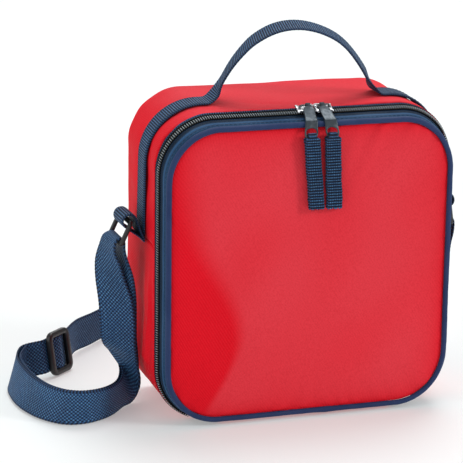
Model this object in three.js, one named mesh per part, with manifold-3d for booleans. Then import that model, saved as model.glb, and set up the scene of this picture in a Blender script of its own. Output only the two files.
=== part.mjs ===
// Soft insulated lunch bag with a front door zipped round three sides, a webbing carrying
// handle and an adjustable shoulder strap that lies beside and behind the bag.
// Millimetres. +Z is up, the door faces -Y, and the origin is the centre of the base.
import * as THREE from "three";
import { mergeVertices } from "three/addons/utils/BufferGeometryUtils.js";
import Module from "manifold-3d";

const wasm = await Module();
wasm.setup();

// ---------------------------------------------------------------- driving dimensions

const GAP = 0.3; // left between two pieces that touch

// The bag's rounded-rectangle outline at four depths, from the door's face to the back.
const OUTLINES = [
  { y: -48.5, halfWidth: 103.1, bottom: 3.2, top: 210.8, radius: 37.8 },
  { y: -38.0, halfWidth: 106.0, bottom: 0.9, top: 214.8, radius: 38.5 },
  { y: -29.5, halfWidth: 107.3, bottom: 0.0, top: 218.6, radius: 39.0 },
  { y: 48.5, halfWidth: 105.0, bottom: 0.0, top: 222.0, radius: 38.0 },
];
const FRONT_Y = -48.5;
const GUSSET_FRONT_Y = -29.5;
const BACK_Y = 48.5;
const CORNER_STEPS = 8;

// Walls, from outside to inside.
const FABRIC = 1.0;
const FOAM = 4.0;
const LINING = 0.6;
const TUB_RIM_Y = -23.0;
const SEAM_Z = 126; // where the upper and lower gusset are sewn together

// Zip: two tapes, each with half of the coil, that meet at ZIP_Y.
const ZIP_Y = -34.25;
const ZIP_PARTING = 0.6; // half the slot in which a slider's divider runs
const TAPE = 0.7;
const TAPE_INSET = FABRIC + GAP;
const COIL_HALF_WIDTH = 3.2;
const COIL_BASE = -1.0;
const COIL_TOP = 0.6;
const ZIP_FIRST = 1.27; // perimeter places of the zip's two ends, past the bottom corners
const ZIP_LAST = 7.73;

// Door.
const PIPING_RADIUS = 2.2;
const PIPING_INSET = 0.8;
const DOOR_TAPE_FRONT_Y = -46.1;
const HINGE_HALF_WIDTH = 64;

// Sliders and pulls.
const SLIDERS = { left: -1.4, right: 12.0 };
const SLIDER_LENGTH = 12.6;
const BRIDGE_HEIGHT = 4.3;
const BRIDGE_RADIUS = 0.6;
const TAB_WIDTH = 7.6;
const TAB_THICKNESS = 1.0;
const TAB_UPPER = { length: 18, drop: THREE.MathUtils.degToRad(26) }; // over the piping
const TAB_LOWER = { length: 11.3, drop: THREE.MathUtils.degToRad(66) }; // down the door
const CROSSBAR_HALF = 0.8;
const PULLER_LENGTH = 51;
const PULLER_WIDTH = 11;
const PULLER_LAYER = 1.0;

// Handle webbing.
const HANDLE_WIDTH = 20;
const WEBBING = 1.4;
const HANDLE_SIDE_Y = 3.2;
const HANDLE_TOP_Y = -4.5;
const HANDLE_FOOT_X = 61;
const HANDLE_PIVOT_Z = 226;
const HANDLE_LEAN = THREE.MathUtils.degToRad(9);

// Strap, its rings and its side tabs.
const STRAP_WIDTH = 25;
const STRAP_Y = 3.5;
const RING = { x: 118.5, z: 139.3, width: 33, height: 20, bar: 3.6 };
const RING_REACH = RING.height - RING.bar; // from the upper bar to the lower one
const RING_HANG = {
  left: THREE.MathUtils.degToRad(25),
  right: THREE.MathUtils.degToRad(8),
};
const TAB_LOOP_RADIUS = 4.4;
const STRAP_LOOP_RADIUS = 3.6;
const STRAP_LOOP_END_Z = 114.5;
const LAYER_SPACING = 2.2;
const GLIDE = { length: 24, height: 31, thickness: 2.6, bar: 3.2, centreBar: 3.0 };
const GLIDE_CENTRE = new THREE.Vector3(-144.5, 94, 16.2);
const GLIDE_ALONG = new THREE.Vector3(0.73, 0.68, 0).normalize();
const GLIDE_UP = new THREE.Vector3(-0.08, 0.14, 0.98).normalize();

// ---------------------------------------------------------------- materials

function material(colour, roughness, metalness = 0) {
  return new THREE.MeshStandardMaterial({ color: colour, roughness, metalness });
}

const RED_FABRIC = material(0xd8182a, 0.7);
const SILVER_LINING = material(0xc3c6ca, 0.35, 0.4);
const WHITE_FOAM = material(0xf0f0ee, 0.9);
const NAVY_WEBBING = material(0x1d3a63, 0.85);
const NAVY_TAPE = material(0x1f4470, 0.8);
const NAVY_PIPING = material(0x2a4a7c, 0.6);
const BLACK_COIL = material(0x1c1f26, 0.5);
const BLACK_PLASTIC = material(0x17181b, 0.45);
const BINDING = material(0x20222a, 0.85);
const SILVER_METAL = material(0xc9ccd0, 0.3, 1);
const DARK_METAL = material(0x3d4449, 0.4, 0.9);

// ---------------------------------------------------------------- solids

const bag = new THREE.Group();

function add(name, geometry, look, parent = bag) {
  const mesh = new THREE.Mesh(geometry, look);
  mesh.name = name;
  parent.add(mesh);
  return mesh;
}

function asSolid(geometry) {
  const bare = geometry.clone();
  bare.deleteAttribute("normal");
  bare.deleteAttribute("uv");
  const merged = mergeVertices(bare, 1e-4);
  return new wasm.Manifold(
    new wasm.Mesh({
      numProp: 3,
      vertProperties: merged.attributes.position.array,
      triVerts: new Uint32Array(merged.index.array),
    }),
  );
}

function asGeometry(solid) {
  const mesh = solid.getMesh();
  const geometry = new THREE.BufferGeometry();
  geometry.setAttribute("position", new THREE.BufferAttribute(mesh.vertProperties, 3));
  geometry.setIndex(new THREE.BufferAttribute(mesh.triVerts, 1));
  geometry.computeVertexNormals();
  return geometry;
}

function join(geometries) {
  const solids = geometries.map(asSolid);
  return asGeometry(solids.reduce((whole, next) => whole.add(next)));
}

function cut(geometry, tool) {
  return asGeometry(asSolid(geometry).subtract(asSolid(tool)));
}

// A box from its lowest to its highest corner.
function box(low, high) {
  const size = high.map((value, i) => value - low[i]);
  const middle = high.map((value, i) => (value + low[i]) / 2);
  return new THREE.BoxGeometry(...size).translate(...middle);
}

// A round bar along X.
function barAlongX(length, radius, y, z, sides = 12) {
  const bar = new THREE.CylinderGeometry(radius, radius, length, sides);
  return bar.rotateZ(Math.PI / 2).translate(0, y, z);
}

// The triangles that close one ring of points, wound as the ring is.
function capTriangles(ring) {
  const normal = new THREE.Vector3();
  ring.forEach((point, i) => normal.add(point.clone().cross(ring[(i + 1) % ring.length])));
  normal.normalize();
  const across = ring[1].clone().sub(ring[0]).normalize();
  const up = normal.clone().cross(across);
  const flat = ring.map((point) => new THREE.Vector2(point.dot(across), point.dot(up)));
  return THREE.ShapeUtils.triangulateShape(flat, []).map(([a, b, c]) => {
    const left = flat[b].clone().sub(flat[a]);
    const right = flat[c].clone().sub(flat[a]);
    return left.cross(right) > 0 ? [a, b, c] : [a, c, b];
  });
}

// A closed solid through rings of points, either capped at its ends or running round.
function loft(rings, round = false) {
  const count = rings[0].length;
  const faces = [];
  const spans = round ? rings.length : rings.length - 1;
  for (let i = 0; i < spans; i++) {
    const here = i * count;
    const next = ((i + 1) % rings.length) * count;
    for (let k = 0; k < count; k++) {
      const other = (k + 1) % count;
      faces.push([here + k, here + other, next + other]);
      faces.push([here + k, next + other, next + k]);
    }
  }
  if (!round) {
    const last = (rings.length - 1) * count;
    capTriangles(rings[0]).forEach(([a, b, c]) => faces.push([a, c, b]));
    capTriangles(rings.at(-1)).forEach((t) => faces.push(t.map((k) => last + k)));
  }
  return facingOut(rings.flat(), faces);
}

function facingOut(points, faces) {
  const volume = faces.reduce((sum, [a, b, c]) => {
    return sum + points[a].dot(points[b].clone().cross(points[c]));
  }, 0);
  const turned = volume < 0 ? faces.map(([a, b, c]) => [a, c, b]) : faces;
  const geometry = new THREE.BufferGeometry().setFromPoints(points);
  geometry.setIndex(turned.flat());
  geometry.computeVertexNormals();
  return geometry;
}

// ---------------------------------------------------------------- the bag's outline

function outlineAt(y) {
  const last = OUTLINES.length - 2;
  let i = 0;
  while (i < last && y > OUTLINES[i + 1].y) i += 1;
  const [a, b] = [OUTLINES[i], OUTLINES[i + 1]];
  const t = (y - a.y) / (b.y - a.y);
  const between = (key) => THREE.MathUtils.lerp(a[key], b[key], t);
  return {
    side: between("halfWidth") - between("radius"),
    low: between("bottom") + between("radius"),
    high: between("top") - between("radius"),
    radius: between("radius"),
  };
}

// A point at depth y and offset from the outline. place runs clockwise, seen from the door,
// from 0 to 8: even legs are the bottom, left, top and right, odd legs the corners between.
function rimPoint(y, offset, place) {
  const o = outlineAt(y);
  const r = o.radius + offset;
  const leg = Math.floor(place) % 8;
  const t = place - Math.floor(place);
  const along = (from, to) => THREE.MathUtils.lerp(from, to, t);
  if (leg === 0) return new THREE.Vector3(along(o.side, -o.side), y, o.low - r);
  if (leg === 2) return new THREE.Vector3(-o.side - r, y, along(o.low, o.high));
  if (leg === 4) return new THREE.Vector3(along(-o.side, o.side), y, o.high + r);
  if (leg === 6) return new THREE.Vector3(o.side + r, y, along(o.high, o.low));
  const x = leg < 4 ? -o.side : o.side;
  const z = leg === 1 || leg === 7 ? o.low : o.high;
  const angle = (-Math.PI / 2) * ((leg - 1) / 2 + 1 + t);
  return new THREE.Vector3(x + r * Math.cos(angle), y, z + r * Math.sin(angle));
}

// Places between two others, with each corner's steps among them.
function places(from, to) {
  const found = [from];
  for (let leg = Math.floor(from); leg < to; leg++) {
    const steps = leg % 2 === 1 ? CORNER_STEPS : 1;
    for (let k = 0; k < steps; k++) {
      const place = leg + k / steps;
      if (place > from + 1e-6 && place < to - 1e-6) found.push(place);
    }
  }
  return [...found, to];
}

// The place on the left side, or the right, at height z.
function placeAtHeight(side, z) {
  const o = outlineAt(0);
  const t = (z - o.low) / (o.high - o.low);
  return side < 0 ? 2 + t : 7 - t;
}

// A strip with the given profile of [y, offset] corners that follows the outline.
// slant moves it in y from its first place to its last.
function strip(profile, from, to, slant = () => 0) {
  const rings = places(from, to).map((place) =>
    profile.map(([y, offset]) => rimPoint(y + slant(place), offset, place)),
  );
  return loft(rings);
}

function closedStrip(profile) {
  const rings = places(0, 8)
    .slice(0, -1)
    .map((place) => profile.map(([y, offset]) => rimPoint(y, offset, place)));
  return loft(rings, true);
}

function rimRing(y, inset) {
  return places(0, 8)
    .slice(0, -1)
    .map((place) => rimPoint(y, -inset, place));
}

function plate(frontY, backY, inset) {
  return loft([rimRing(frontY, inset), rimRing(backY, inset)]);
}

// A tub that is open at rimY and closed at backY.
function tub(rimY, backY, inset, thickness) {
  const inner = inset + thickness;
  return loft([
    rimRing(backY, inset),
    rimRing(rimY, inset),
    rimRing(rimY, inner),
    rimRing(backY - thickness, inner),
  ]);
}

function rectangle(fromY, toY, fromOffset, toOffset) {
  return [
    [fromY, fromOffset],
    [toY, fromOffset],
    [toY, toOffset],
    [fromY, toOffset],
  ];
}

// ---------------------------------------------------------------- body of the bag

function addBody() {
  const half = GAP / 2;
  const leftSeam = placeAtHeight(-1, SEAM_Z);
  const rightSeam = placeAtHeight(1, SEAM_Z);
  const upper = placeAtHeight(-1, SEAM_Z + half) - leftSeam;
  const gusset = rectangle(GUSSET_FRONT_Y, BACK_Y, -FABRIC, 0);
  add("upper_gusset", strip(gusset, leftSeam + upper, rightSeam - upper), RED_FABRIC);
  const round = 8;
  add("lower_gusset", strip(gusset, rightSeam + upper, round + leftSeam - upper), RED_FABRIC);

  let inset = FABRIC + GAP;
  let back = BACK_Y;
  add("back_panel", plate(back - FABRIC, back, inset), RED_FABRIC);
  back -= FABRIC + GAP;
  add("body_foam", tub(TUB_RIM_Y, back, inset, FOAM), WHITE_FOAM);
  inset += FOAM + GAP;
  back -= FOAM + GAP;
  add("body_lining", tub(TUB_RIM_Y, back, inset, LINING), SILVER_LINING);

  const bindingDepth = 3.2;
  const bindingBack = TUB_RIM_Y - GAP;
  const bindingTop = -TAPE_INSET - TAPE - GAP;
  const innerFace = -(inset + LINING);
  const binding = rectangle(bindingBack - bindingDepth, bindingBack, innerFace, bindingTop);
  add("body_seam_binding", closedStrip(binding), BINDING);
}

function addBodyZip() {
  const nearEdge = ZIP_Y + ZIP_PARTING;
  const underGusset = 2.6;
  const top = -TAPE_INSET;
  const tape = rectangle(nearEdge, GUSSET_FRONT_Y + underGusset, top - TAPE, top);
  add("body_zip_tape", strip(tape, ZIP_FIRST, ZIP_LAST), NAVY_TAPE);
  const coil = rectangle(nearEdge, ZIP_Y + COIL_HALF_WIDTH, COIL_BASE, COIL_TOP);
  add("body_zip_coil", strip(coil, ZIP_FIRST, ZIP_LAST), BLACK_COIL);
}

function addFabricHinge() {
  const doorEdge = -45.9;
  const bodyEdge = GUSSET_FRONT_Y - GAP;
  const rings = [-HINGE_HALF_WIDTH, HINGE_HALF_WIDTH].map((x) =>
    [
      [doorEdge, 0],
      [OUTLINES[1].y, 0],
      [bodyEdge, 0],
      [bodyEdge, -FABRIC],
      [OUTLINES[1].y, -FABRIC],
      [doorEdge, -FABRIC],
    ].map(([y, offset]) => {
      const o = outlineAt(y);
      return new THREE.Vector3(x, y, o.low - o.radius - offset);
    }),
  );
  add("fabric_hinge", loft(rings), RED_FABRIC);
}

// ---------------------------------------------------------------- door

function addDoor() {
  const sides = 10;
  const piping = [...Array(sides).keys()].map((k) => {
    const angle = (2 * Math.PI * k) / sides;
    const y = FRONT_Y + PIPING_RADIUS * Math.cos(angle);
    return [y, PIPING_RADIUS * Math.sin(angle) - PIPING_INSET];
  });
  add("door_piping", closedStrip(piping), NAVY_PIPING);

  const inset = PIPING_INSET + PIPING_RADIUS + GAP;
  let y = FRONT_Y;
  add("door_outer_panel", plate(y - FABRIC, y, inset), RED_FABRIC);
  y += GAP;
  add("door_foam", plate(y, y + FOAM, inset), WHITE_FOAM);
  y += FOAM + GAP;
  add("door_lining", plate(y, y + LINING, inset), SILVER_LINING);
  y += LINING + GAP;
  const bindingDepth = 3.0;
  const bindingTop = -TAPE_INSET - TAPE - GAP;
  const bindingThickness = 1.3;
  const binding = rectangle(y, y + bindingDepth, bindingTop - bindingThickness, bindingTop);
  add("door_seam_binding", closedStrip(binding), BINDING);
}

function addDoorZip() {
  const nearEdge = ZIP_Y - ZIP_PARTING;
  const top = -TAPE_INSET;
  const bend = OUTLINES[1].y;
  const tape = [
    [DOOR_TAPE_FRONT_Y, top - TAPE],
    [bend, top - TAPE],
    [nearEdge, top - TAPE],
    [nearEdge, top],
    [bend, top],
    [DOOR_TAPE_FRONT_Y, top],
  ];
  add("door_zip_tape", strip(tape, ZIP_FIRST, ZIP_LAST), NAVY_TAPE);
  const coil = rectangle(ZIP_Y - COIL_HALF_WIDTH, nearEdge, COIL_BASE, COIL_TOP);
  add("door_zip_coil", strip(coil, ZIP_FIRST, ZIP_LAST), BLACK_COIL);
}

// ---------------------------------------------------------------- sliders and pulls

// Slider: a top plate over both halves of the coil, a divider that runs between them, a
// bottom plate under the door's half, and a bridge for the pull. Its origin is on the
// outline over the middle of the coil, and it leans with the outline there.
function sliderBody() {
  const halfLength = SLIDER_LENGTH / 2;
  const halfWidth = 4.2;
  const plateLow = COIL_TOP + 0.4;
  const plateHigh = plateLow + 0.9;
  const lowerHigh = -TAPE_INSET - TAPE - GAP;
  const lowerLow = lowerHigh - 0.8;
  const divider = 0.3;
  const leg = 1.2;
  const bridgeHalf = 3.6;
  const solid = join([
    box([-halfLength, -halfWidth, plateLow], [halfLength, halfWidth, plateHigh]),
    box([-halfLength, -halfWidth, lowerLow], [halfLength, divider, lowerHigh]),
    box([-divider * 3, -divider, lowerLow], [divider * 3, divider, plateHigh]),
    box([-bridgeHalf, -leg / 2, plateLow], [-bridgeHalf + leg, leg / 2, BRIDGE_HEIGHT]),
    box([bridgeHalf - leg, -leg / 2, plateLow], [bridgeHalf, leg / 2, BRIDGE_HEIGHT]),
    barAlongX(2 * bridgeHalf - 0.2, BRIDGE_RADIUS, 0, BRIDGE_HEIGHT - BRIDGE_RADIUS / 2),
  ]);
  const [, before, after] = OUTLINES;
  const slope = (after.top - before.top) / (after.y - before.y);
  const lean = new THREE.Matrix4().makeShear(0, 0, 0, slope, 0, 0);
  return solid.applyMatrix4(lean);
}

// One straight length of the pull tab, from a point towards -Y and down.
function tabBlade(length, width, drop, fromY, fromZ) {
  const half = TAB_THICKNESS / 2;
  const blade = box([-width / 2, -length, -half], [width / 2, 0, half]);
  return blade.rotateX(drop).translate(0, fromY, fromZ);
}

// Where the bent tab's far crossbar is, from the eye.
function tabPoint(alongLower) {
  const { length, drop } = TAB_UPPER;
  const y = -length * Math.cos(drop) - alongLower * Math.cos(TAB_LOWER.drop);
  const z = -length * Math.sin(drop) - alongLower * Math.sin(TAB_LOWER.drop);
  return new THREE.Vector3(0, y, z);
}

// Pull tab: an eye round the slider's bridge bar, which is its origin, a blade that lies
// over the piping, and a bent end with an oval window for the puller.
function pullTab() {
  const eyeOuter = 1.5;
  const eyeInner = BRIDGE_RADIUS + GAP;
  const eyeLength = 3.0;
  const neck = 2.8;
  const windowNear = 5.2;
  const windowFar = TAB_LOWER.length - 2 * CROSSBAR_HALF;
  const windowWidth = 5.8;
  const { length, drop } = TAB_UPPER;
  const neckEnd = tabPointOnUpper(neck);
  const bend = tabPoint(0);
  const window = tabPoint(windowNear);
  const solid = join([
    barAlongX(eyeLength, eyeOuter, 0, 0, 16),
    tabBlade(neck + 0.5, eyeLength, drop, 0, 0),
    tabBlade(length - neck, TAB_WIDTH, drop, neckEnd.y, neckEnd.z),
    barAlongX(TAB_WIDTH, TAB_THICKNESS / 2, bend.y, bend.z),
    tabBlade(TAB_LOWER.length, TAB_WIDTH, TAB_LOWER.drop, bend.y, bend.z),
  ]);
  const opening = box(
    [-windowWidth / 2, -(windowFar - windowNear), -2],
    [windowWidth / 2, 0, 2],
  );
  opening.rotateX(TAB_LOWER.drop).translate(0, window.y, window.z);
  return cut(cut(solid, barAlongX(eyeLength + 1, eyeInner, 0, 0, 16)), opening);
}

function tabPointOnUpper(along) {
  const { drop } = TAB_UPPER;
  return new THREE.Vector3(0, -along * Math.cos(drop), -along * Math.sin(drop));
}

// The puller: webbing folded round the tab's crossbar and sewn to itself, hanging down.
function puller() {
  const eyeInner = 1.25;
  const eyeOuter = eyeInner + PULLER_LAYER;
  const eyeHalf = 2.4;
  const neck = 5;
  const layer = PULLER_LAYER;
  const wide = PULLER_WIDTH / 2;
  const eye = cut(
    barAlongX(2 * eyeHalf, eyeOuter, 0, 0, 16),
    barAlongX(2 * eyeHalf + 1, eyeInner, 0, 0, 16),
  );
  return join([
    eye,
    box([-eyeHalf, -layer, -neck], [eyeHalf, layer, -eyeInner - 0.3]),
    box([-wide, -layer, -PULLER_LENGTH], [wide, layer, -neck + 0.2]),
  ]);
}

function addSlider(side) {
  const o = outlineAt(ZIP_Y);
  const slider = new THREE.Group();
  slider.position.set(SLIDERS[side], ZIP_Y, o.high + o.radius);
  bag.add(slider);
  add("slider_" + side, sliderBody(), SILVER_METAL, slider);
  const eye = new THREE.Vector3(0, 0, BRIDGE_HEIGHT - BRIDGE_RADIUS / 2);
  add("pull_tab_" + side, pullTab(), DARK_METAL, slider).position.copy(eye);
  const crossbar = tabPoint(TAB_LOWER.length - CROSSBAR_HALF).add(eye);
  add("webbing_puller_" + side, puller(), NAVY_WEBBING, slider).position.copy(crossbar);
}

// ---------------------------------------------------------------- webbing

// A flat band through pairs of [left edge, right edge] points, WEBBING thick. from and to
// are places in the list, and steps is the number of cross-sections for each place.
function webbing(pairs, { from = 0, to = pairs.length - 1, steps = 2 } = {}) {
  const leftEdge = new THREE.CatmullRomCurve3(pairs.map(([left]) => left));
  const rightEdge = new THREE.CatmullRomCurve3(pairs.map(([, right]) => right));
  const last = pairs.length - 1;
  const count = Math.round((to - from) * steps);
  const rings = [];
  for (let k = 0; k <= count; k++) {
    const t = (from + ((to - from) * k) / count) / last;
    const [left, right] = [leftEdge.getPoint(t), rightEdge.getPoint(t)];
    const forward = leftEdge.getTangent(t).add(rightEdge.getTangent(t));
    const normal = left.clone().sub(right).cross(forward).setLength(WEBBING / 2);
    rings.push([
      left.clone().add(normal),
      right.clone().add(normal),
      right.clone().sub(normal),
      left.clone().sub(normal),
    ]);
  }
  return loft(rings);
}

// Pairs for a band that keeps its width along Y and follows [x, z] points.
function alongY(points, y, width) {
  return points.map(([x, z]) => [
    new THREE.Vector3(x, y + width / 2, z),
    new THREE.Vector3(x, y - width / 2, z),
  ]);
}

// Points on an arc from one angle to another, in degrees, in the XZ plane.
function arc(x, z, radius, from, to, count) {
  return [...Array(count + 1).keys()].map((k) => {
    const angle = THREE.MathUtils.degToRad(THREE.MathUtils.lerp(from, to, k / count));
    return [x + radius * Math.cos(angle), z + radius * Math.sin(angle)];
  });
}

function mirrored(points) {
  return points.map(([x, z]) => [-x, z]);
}

function addHandle() {
  const half = HANDLE_WIDTH / 2;
  const profile = rectangle(-half, half, GAP, GAP + WEBBING);
  const o = outlineAt(HANDLE_TOP_Y);
  const foot = (o.side - HANDLE_FOOT_X) / (2 * o.side);
  for (const [name, side] of [["left", -1], ["right", 1]]) {
    const seam = placeAtHeight(side, SEAM_Z + 2);
    const top = side < 0 ? 4 + foot : 5 - foot;
    const reach = Math.abs(top - seam);
    const slant = (place) =>
      THREE.MathUtils.lerp(HANDLE_SIDE_Y, HANDLE_TOP_Y, Math.abs(place - seam) / reach);
    const geometry = strip(profile, Math.min(seam, top), Math.max(seam, top), slant);
    add("handle_run_" + name, geometry, NAVY_WEBBING);
  }

  // The loop stands over the top in the plane y = 0 of its own group, above its pivot.
  const loop = [
    [-54.8, 4.0], [-51.0, 12.0], [-45.9, 20.9], [-39.5, 29.3], [-31.7, 37.1], [-17.3, 44.8],
    [-2.7, 47.0], [12.0, 44.6], [27.0, 38.1], [36.0, 31.4], [44.0, 22.6], [51.6, 12.2],
    [56.4, 4.0],
  ];
  const standing = new THREE.Group();
  standing.position.set(0, HANDLE_TOP_Y, HANDLE_PIVOT_Z);
  standing.rotation.x = HANDLE_LEAN;
  bag.add(standing);
  const pairs = alongY(loop, 0, HANDLE_WIDTH);
  add("handle_loop", webbing(pairs), NAVY_WEBBING, standing);
}

// ---------------------------------------------------------------- rings and side tabs

// A tab of webbing sewn to the side at the seam and folded round the ring's upper bar.
function addSideTab(name, side) {
  const sewnX = RING.x - 8.2;
  const sewnZ = SEAM_Z + 2.0;
  const dx = sewnX - RING.x;
  const dz = sewnZ - RING.z;
  const toSewn = THREE.MathUtils.radToDeg(Math.atan2(dz, -dx));
  const spread = THREE.MathUtils.radToDeg(Math.acos(TAB_LOOP_RADIUS / Math.hypot(dx, dz)));
  const left = [
    [-sewnX + 0.85, sewnZ + 0.3],
    ...arc(-RING.x, RING.z, TAB_LOOP_RADIUS, toSewn + spread, toSewn - spread + 360, 12),
    [-sewnX - 0.85, sewnZ - 0.3],
  ];
  const path = side < 0 ? left : mirrored(left).reverse();
  const pairs = alongY(path, STRAP_Y, STRAP_WIDTH);
  add("side_tab_" + name, webbing(pairs, { steps: 1 }), NAVY_WEBBING);
}

function roundedRectangle(width, height, radius) {
  const [x, y] = [width / 2, height / 2];
  const shape = new THREE.Shape();
  shape.moveTo(-x + radius, -y);
  shape.lineTo(x - radius, -y);
  shape.absarc(x - radius, -y + radius, radius, -Math.PI / 2, 0);
  shape.lineTo(x, y - radius);
  shape.absarc(x - radius, y - radius, radius, 0, Math.PI / 2);
  shape.lineTo(-x + radius, y);
  shape.absarc(-x + radius, y - radius, radius, Math.PI / 2, Math.PI);
  shape.lineTo(-x, -y + radius);
  shape.absarc(-x + radius, -y + radius, radius, Math.PI, 1.5 * Math.PI);
  return shape;
}

function frameSolid(width, height, hole, thickness, radius) {
  const shape = roundedRectangle(width, height, radius);
  shape.holes.push(roundedRectangle(hole.width, hole.height, 0.8));
  const solid = new THREE.ExtrudeGeometry(shape, {
    depth: thickness,
    bevelEnabled: false,
    curveSegments: 4,
  });
  return solid.translate(0, 0, -thickness / 2);
}

// The ring hangs from its upper bar, outwards by its hang angle.
function addRing(name, side) {
  const window = { width: RING.width - 2 * RING.bar, height: RING.height - 2 * RING.bar };
  const geometry = frameSolid(RING.width, RING.height, window, RING.bar, 2.5);
  const [x, y, z] = [[1, 0, 0], [0, 1, 0], [0, 0, 1]].map((v) => new THREE.Vector3(...v));
  geometry.applyMatrix4(new THREE.Matrix4().makeBasis(y, z, x));
  geometry.translate(0, 0, -RING_REACH / 2);
  const ring = add("strap_ring_" + name, geometry, BLACK_PLASTIC);
  ring.position.set(side * RING.x, STRAP_Y, RING.z);
  ring.rotation.y = -side * RING_HANG[name];

  const lowX = side * (RING.x + RING_REACH * Math.sin(RING_HANG[name]));
  const lowZ = RING.z - RING_REACH * Math.cos(RING_HANG[name]);
  const path = [
    [lowX - STRAP_LOOP_RADIUS, STRAP_LOOP_END_Z],
    ...arc(lowX, lowZ, STRAP_LOOP_RADIUS, 180, 0, 8),
    [lowX + STRAP_LOOP_RADIUS, STRAP_LOOP_END_Z],
  ];
  const pairs = alongY(path, STRAP_Y, STRAP_WIDTH);
  add("strap_end_loop_" + name, webbing(pairs, { steps: 1 }), NAVY_WEBBING);
}

// ---------------------------------------------------------------- shoulder strap

// The outer layer's [left or top edge, right or bottom edge] points, chosen by hand.
const STRAP_DROP = [
  [[-135.8, 13.5, 111.5], [-123.6, -8.0, 111.5]],
  [[-137.2, 14.5, 96.0], [-120.0, -3.5, 95.0]],
  [[-136.6, 9.0, 80.0], [-114.8, -3.5, 80.0]],
  [[-135.9, 7.0, 64.0], [-112.6, -2.0, 64.0]],
  [[-133.2, 12.0, 48.5], [-112.0, -1.0, 46.0]],
  [[-124.4, 20.5, 37.0], [-110.3, 0.6, 33.7]],
  [[-119.2, 20.5, 30.5], [-107.8, 7.5, 20.0]],
];
const STRAP_FLOOR_LOOP = [
  [[-118.0, 15.5, 27.0], [-107.8, 12.5, 7.0]],
  [[-120.0, 6.0, 25.2], [-112.0, 10.0, 1.0]],
  [[-125.8, -6.0, 24.2], [-119.0, 4.0, 0.7]],
  [[-140.0, -20.5, 24.6], [-135.0, -13.5, 0.6]],
  [[-155.5, -25.5, 25.2], [-153.0, -22.0, 0.5]],
  [[-166.0, -21.5, 25.3], [-168.0, -20.0, 0.5]],
  [[-175.5, -7.0, 25.0], [-181.0, -6.0, 0.6]],
  [[-180.5, 16.0, 24.6], [-190.0, 17.0, 0.6]],
  [[-182.8, 44.0, 24.6], [-192.0, 43.5, 0.6]],
  [[-181.0, 70.0, 25.0], [-188.0, 68.5, 0.6]],
  [[-172.5, 88.5, 25.6], [-175.0, 82.0, 1.2]],
];
const STRAP_BACK_RUN = [
  [[-119.5, 137.5, 26.2], [-122.5, 134.0, 1.6]],
  [[-104.5, 153.0, 25.4], [-107.5, 149.5, 0.6]],
  [[-89.0, 167.0, 25.5], [-91.5, 166.0, 0.5]],
  [[-66.0, 182.5, 25.5], [-66.5, 184.0, 0.5]],
  [[-36.0, 192.0, 25.5], [-36.0, 194.0, 0.5]],
  [[-2.0, 192.0, 25.5], [-1.0, 194.0, 0.5]],
  [[33.0, 179.0, 25.5], [34.5, 180.5, 0.5]],
  [[64.0, 152.0, 25.5], [66.0, 153.0, 0.5]],
  [[88.0, 117.0, 25.6], [90.0, 118.0, 0.6]],
  [[104.5, 83.5, 27.5], [105.5, 79.5, 2.8]],
  [[113.3, 57.5, 39.0], [112.5, 46.5, 16.5]],
];
const STRAP_RISE = [
  [[115.5, 38.5, 56.0], [114.3, 21.5, 38.0]],
  [[117.0, 24.0, 79.0], [116.0, 2.0, 68.0]],
  [[117.2, 17.0, 97.0], [116.8, -7.8, 92.5]],
  [[117.2, 16.0, 112.6], [117.2, -9.0, 112.6]],
];
// The inner layer beside the ring, before it runs along the outer one.
const RETURN_DROP = [
  [[-124.5, 15.0, 111.5], [-116.6, -8.8, 111.5]],
  [[-130.3, 14.5, 95.0], [-114.0, -4.0, 94.0]],
  [[-133.0, 11.8, 79.0], [-111.5, -1.0, 79.0]],
  [[-134.0, 9.6, 63.0], [-111.0, 0.8, 63.0]],
  [[-132.0, 13.8, 51.0], [-110.5, 1.2, 49.0]],
];

function asPairs(list) {
  return list.map((pair) => pair.map((point) => new THREE.Vector3(...point)));
}

// The strap runs behind the glide's outer bars and in front of its recessed centre bar.
function glidePairs() {
  const behind = -2.7;
  const infront = 1.5;
  const outward = GLIDE_ALONG.clone().cross(GLIDE_UP);
  const half = GLIDE_UP.clone().multiplyScalar(STRAP_WIDTH / 2);
  return [
    [-15.5, behind], [-10.0, behind], [-5.6, -0.7], [-1.6, infront],
    [1.6, infront], [5.6, -0.7], [10.0, behind], [15.5, behind],
  ].map(([along, out]) => {
    const centre = GLIDE_CENTRE.clone().addScaledVector(GLIDE_ALONG, along);
    centre.addScaledVector(outward, out);
    return [centre.clone().add(half), centre.clone().sub(half)];
  });
}

// The same band moved sideways by spacing, level with the first one.
function beside(pairs, spacing) {
  const route = new THREE.CatmullRomCurve3(pairs.map(([a, b]) => a.clone().lerp(b, 0.5)));
  return pairs.map(([left, right], i) => {
    const forward = route.getTangent(i / (pairs.length - 1));
    const normal = left.clone().sub(right).cross(forward).setZ(0).setLength(spacing);
    return [left.clone().add(normal), right.clone().add(normal)];
  });
}

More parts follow.
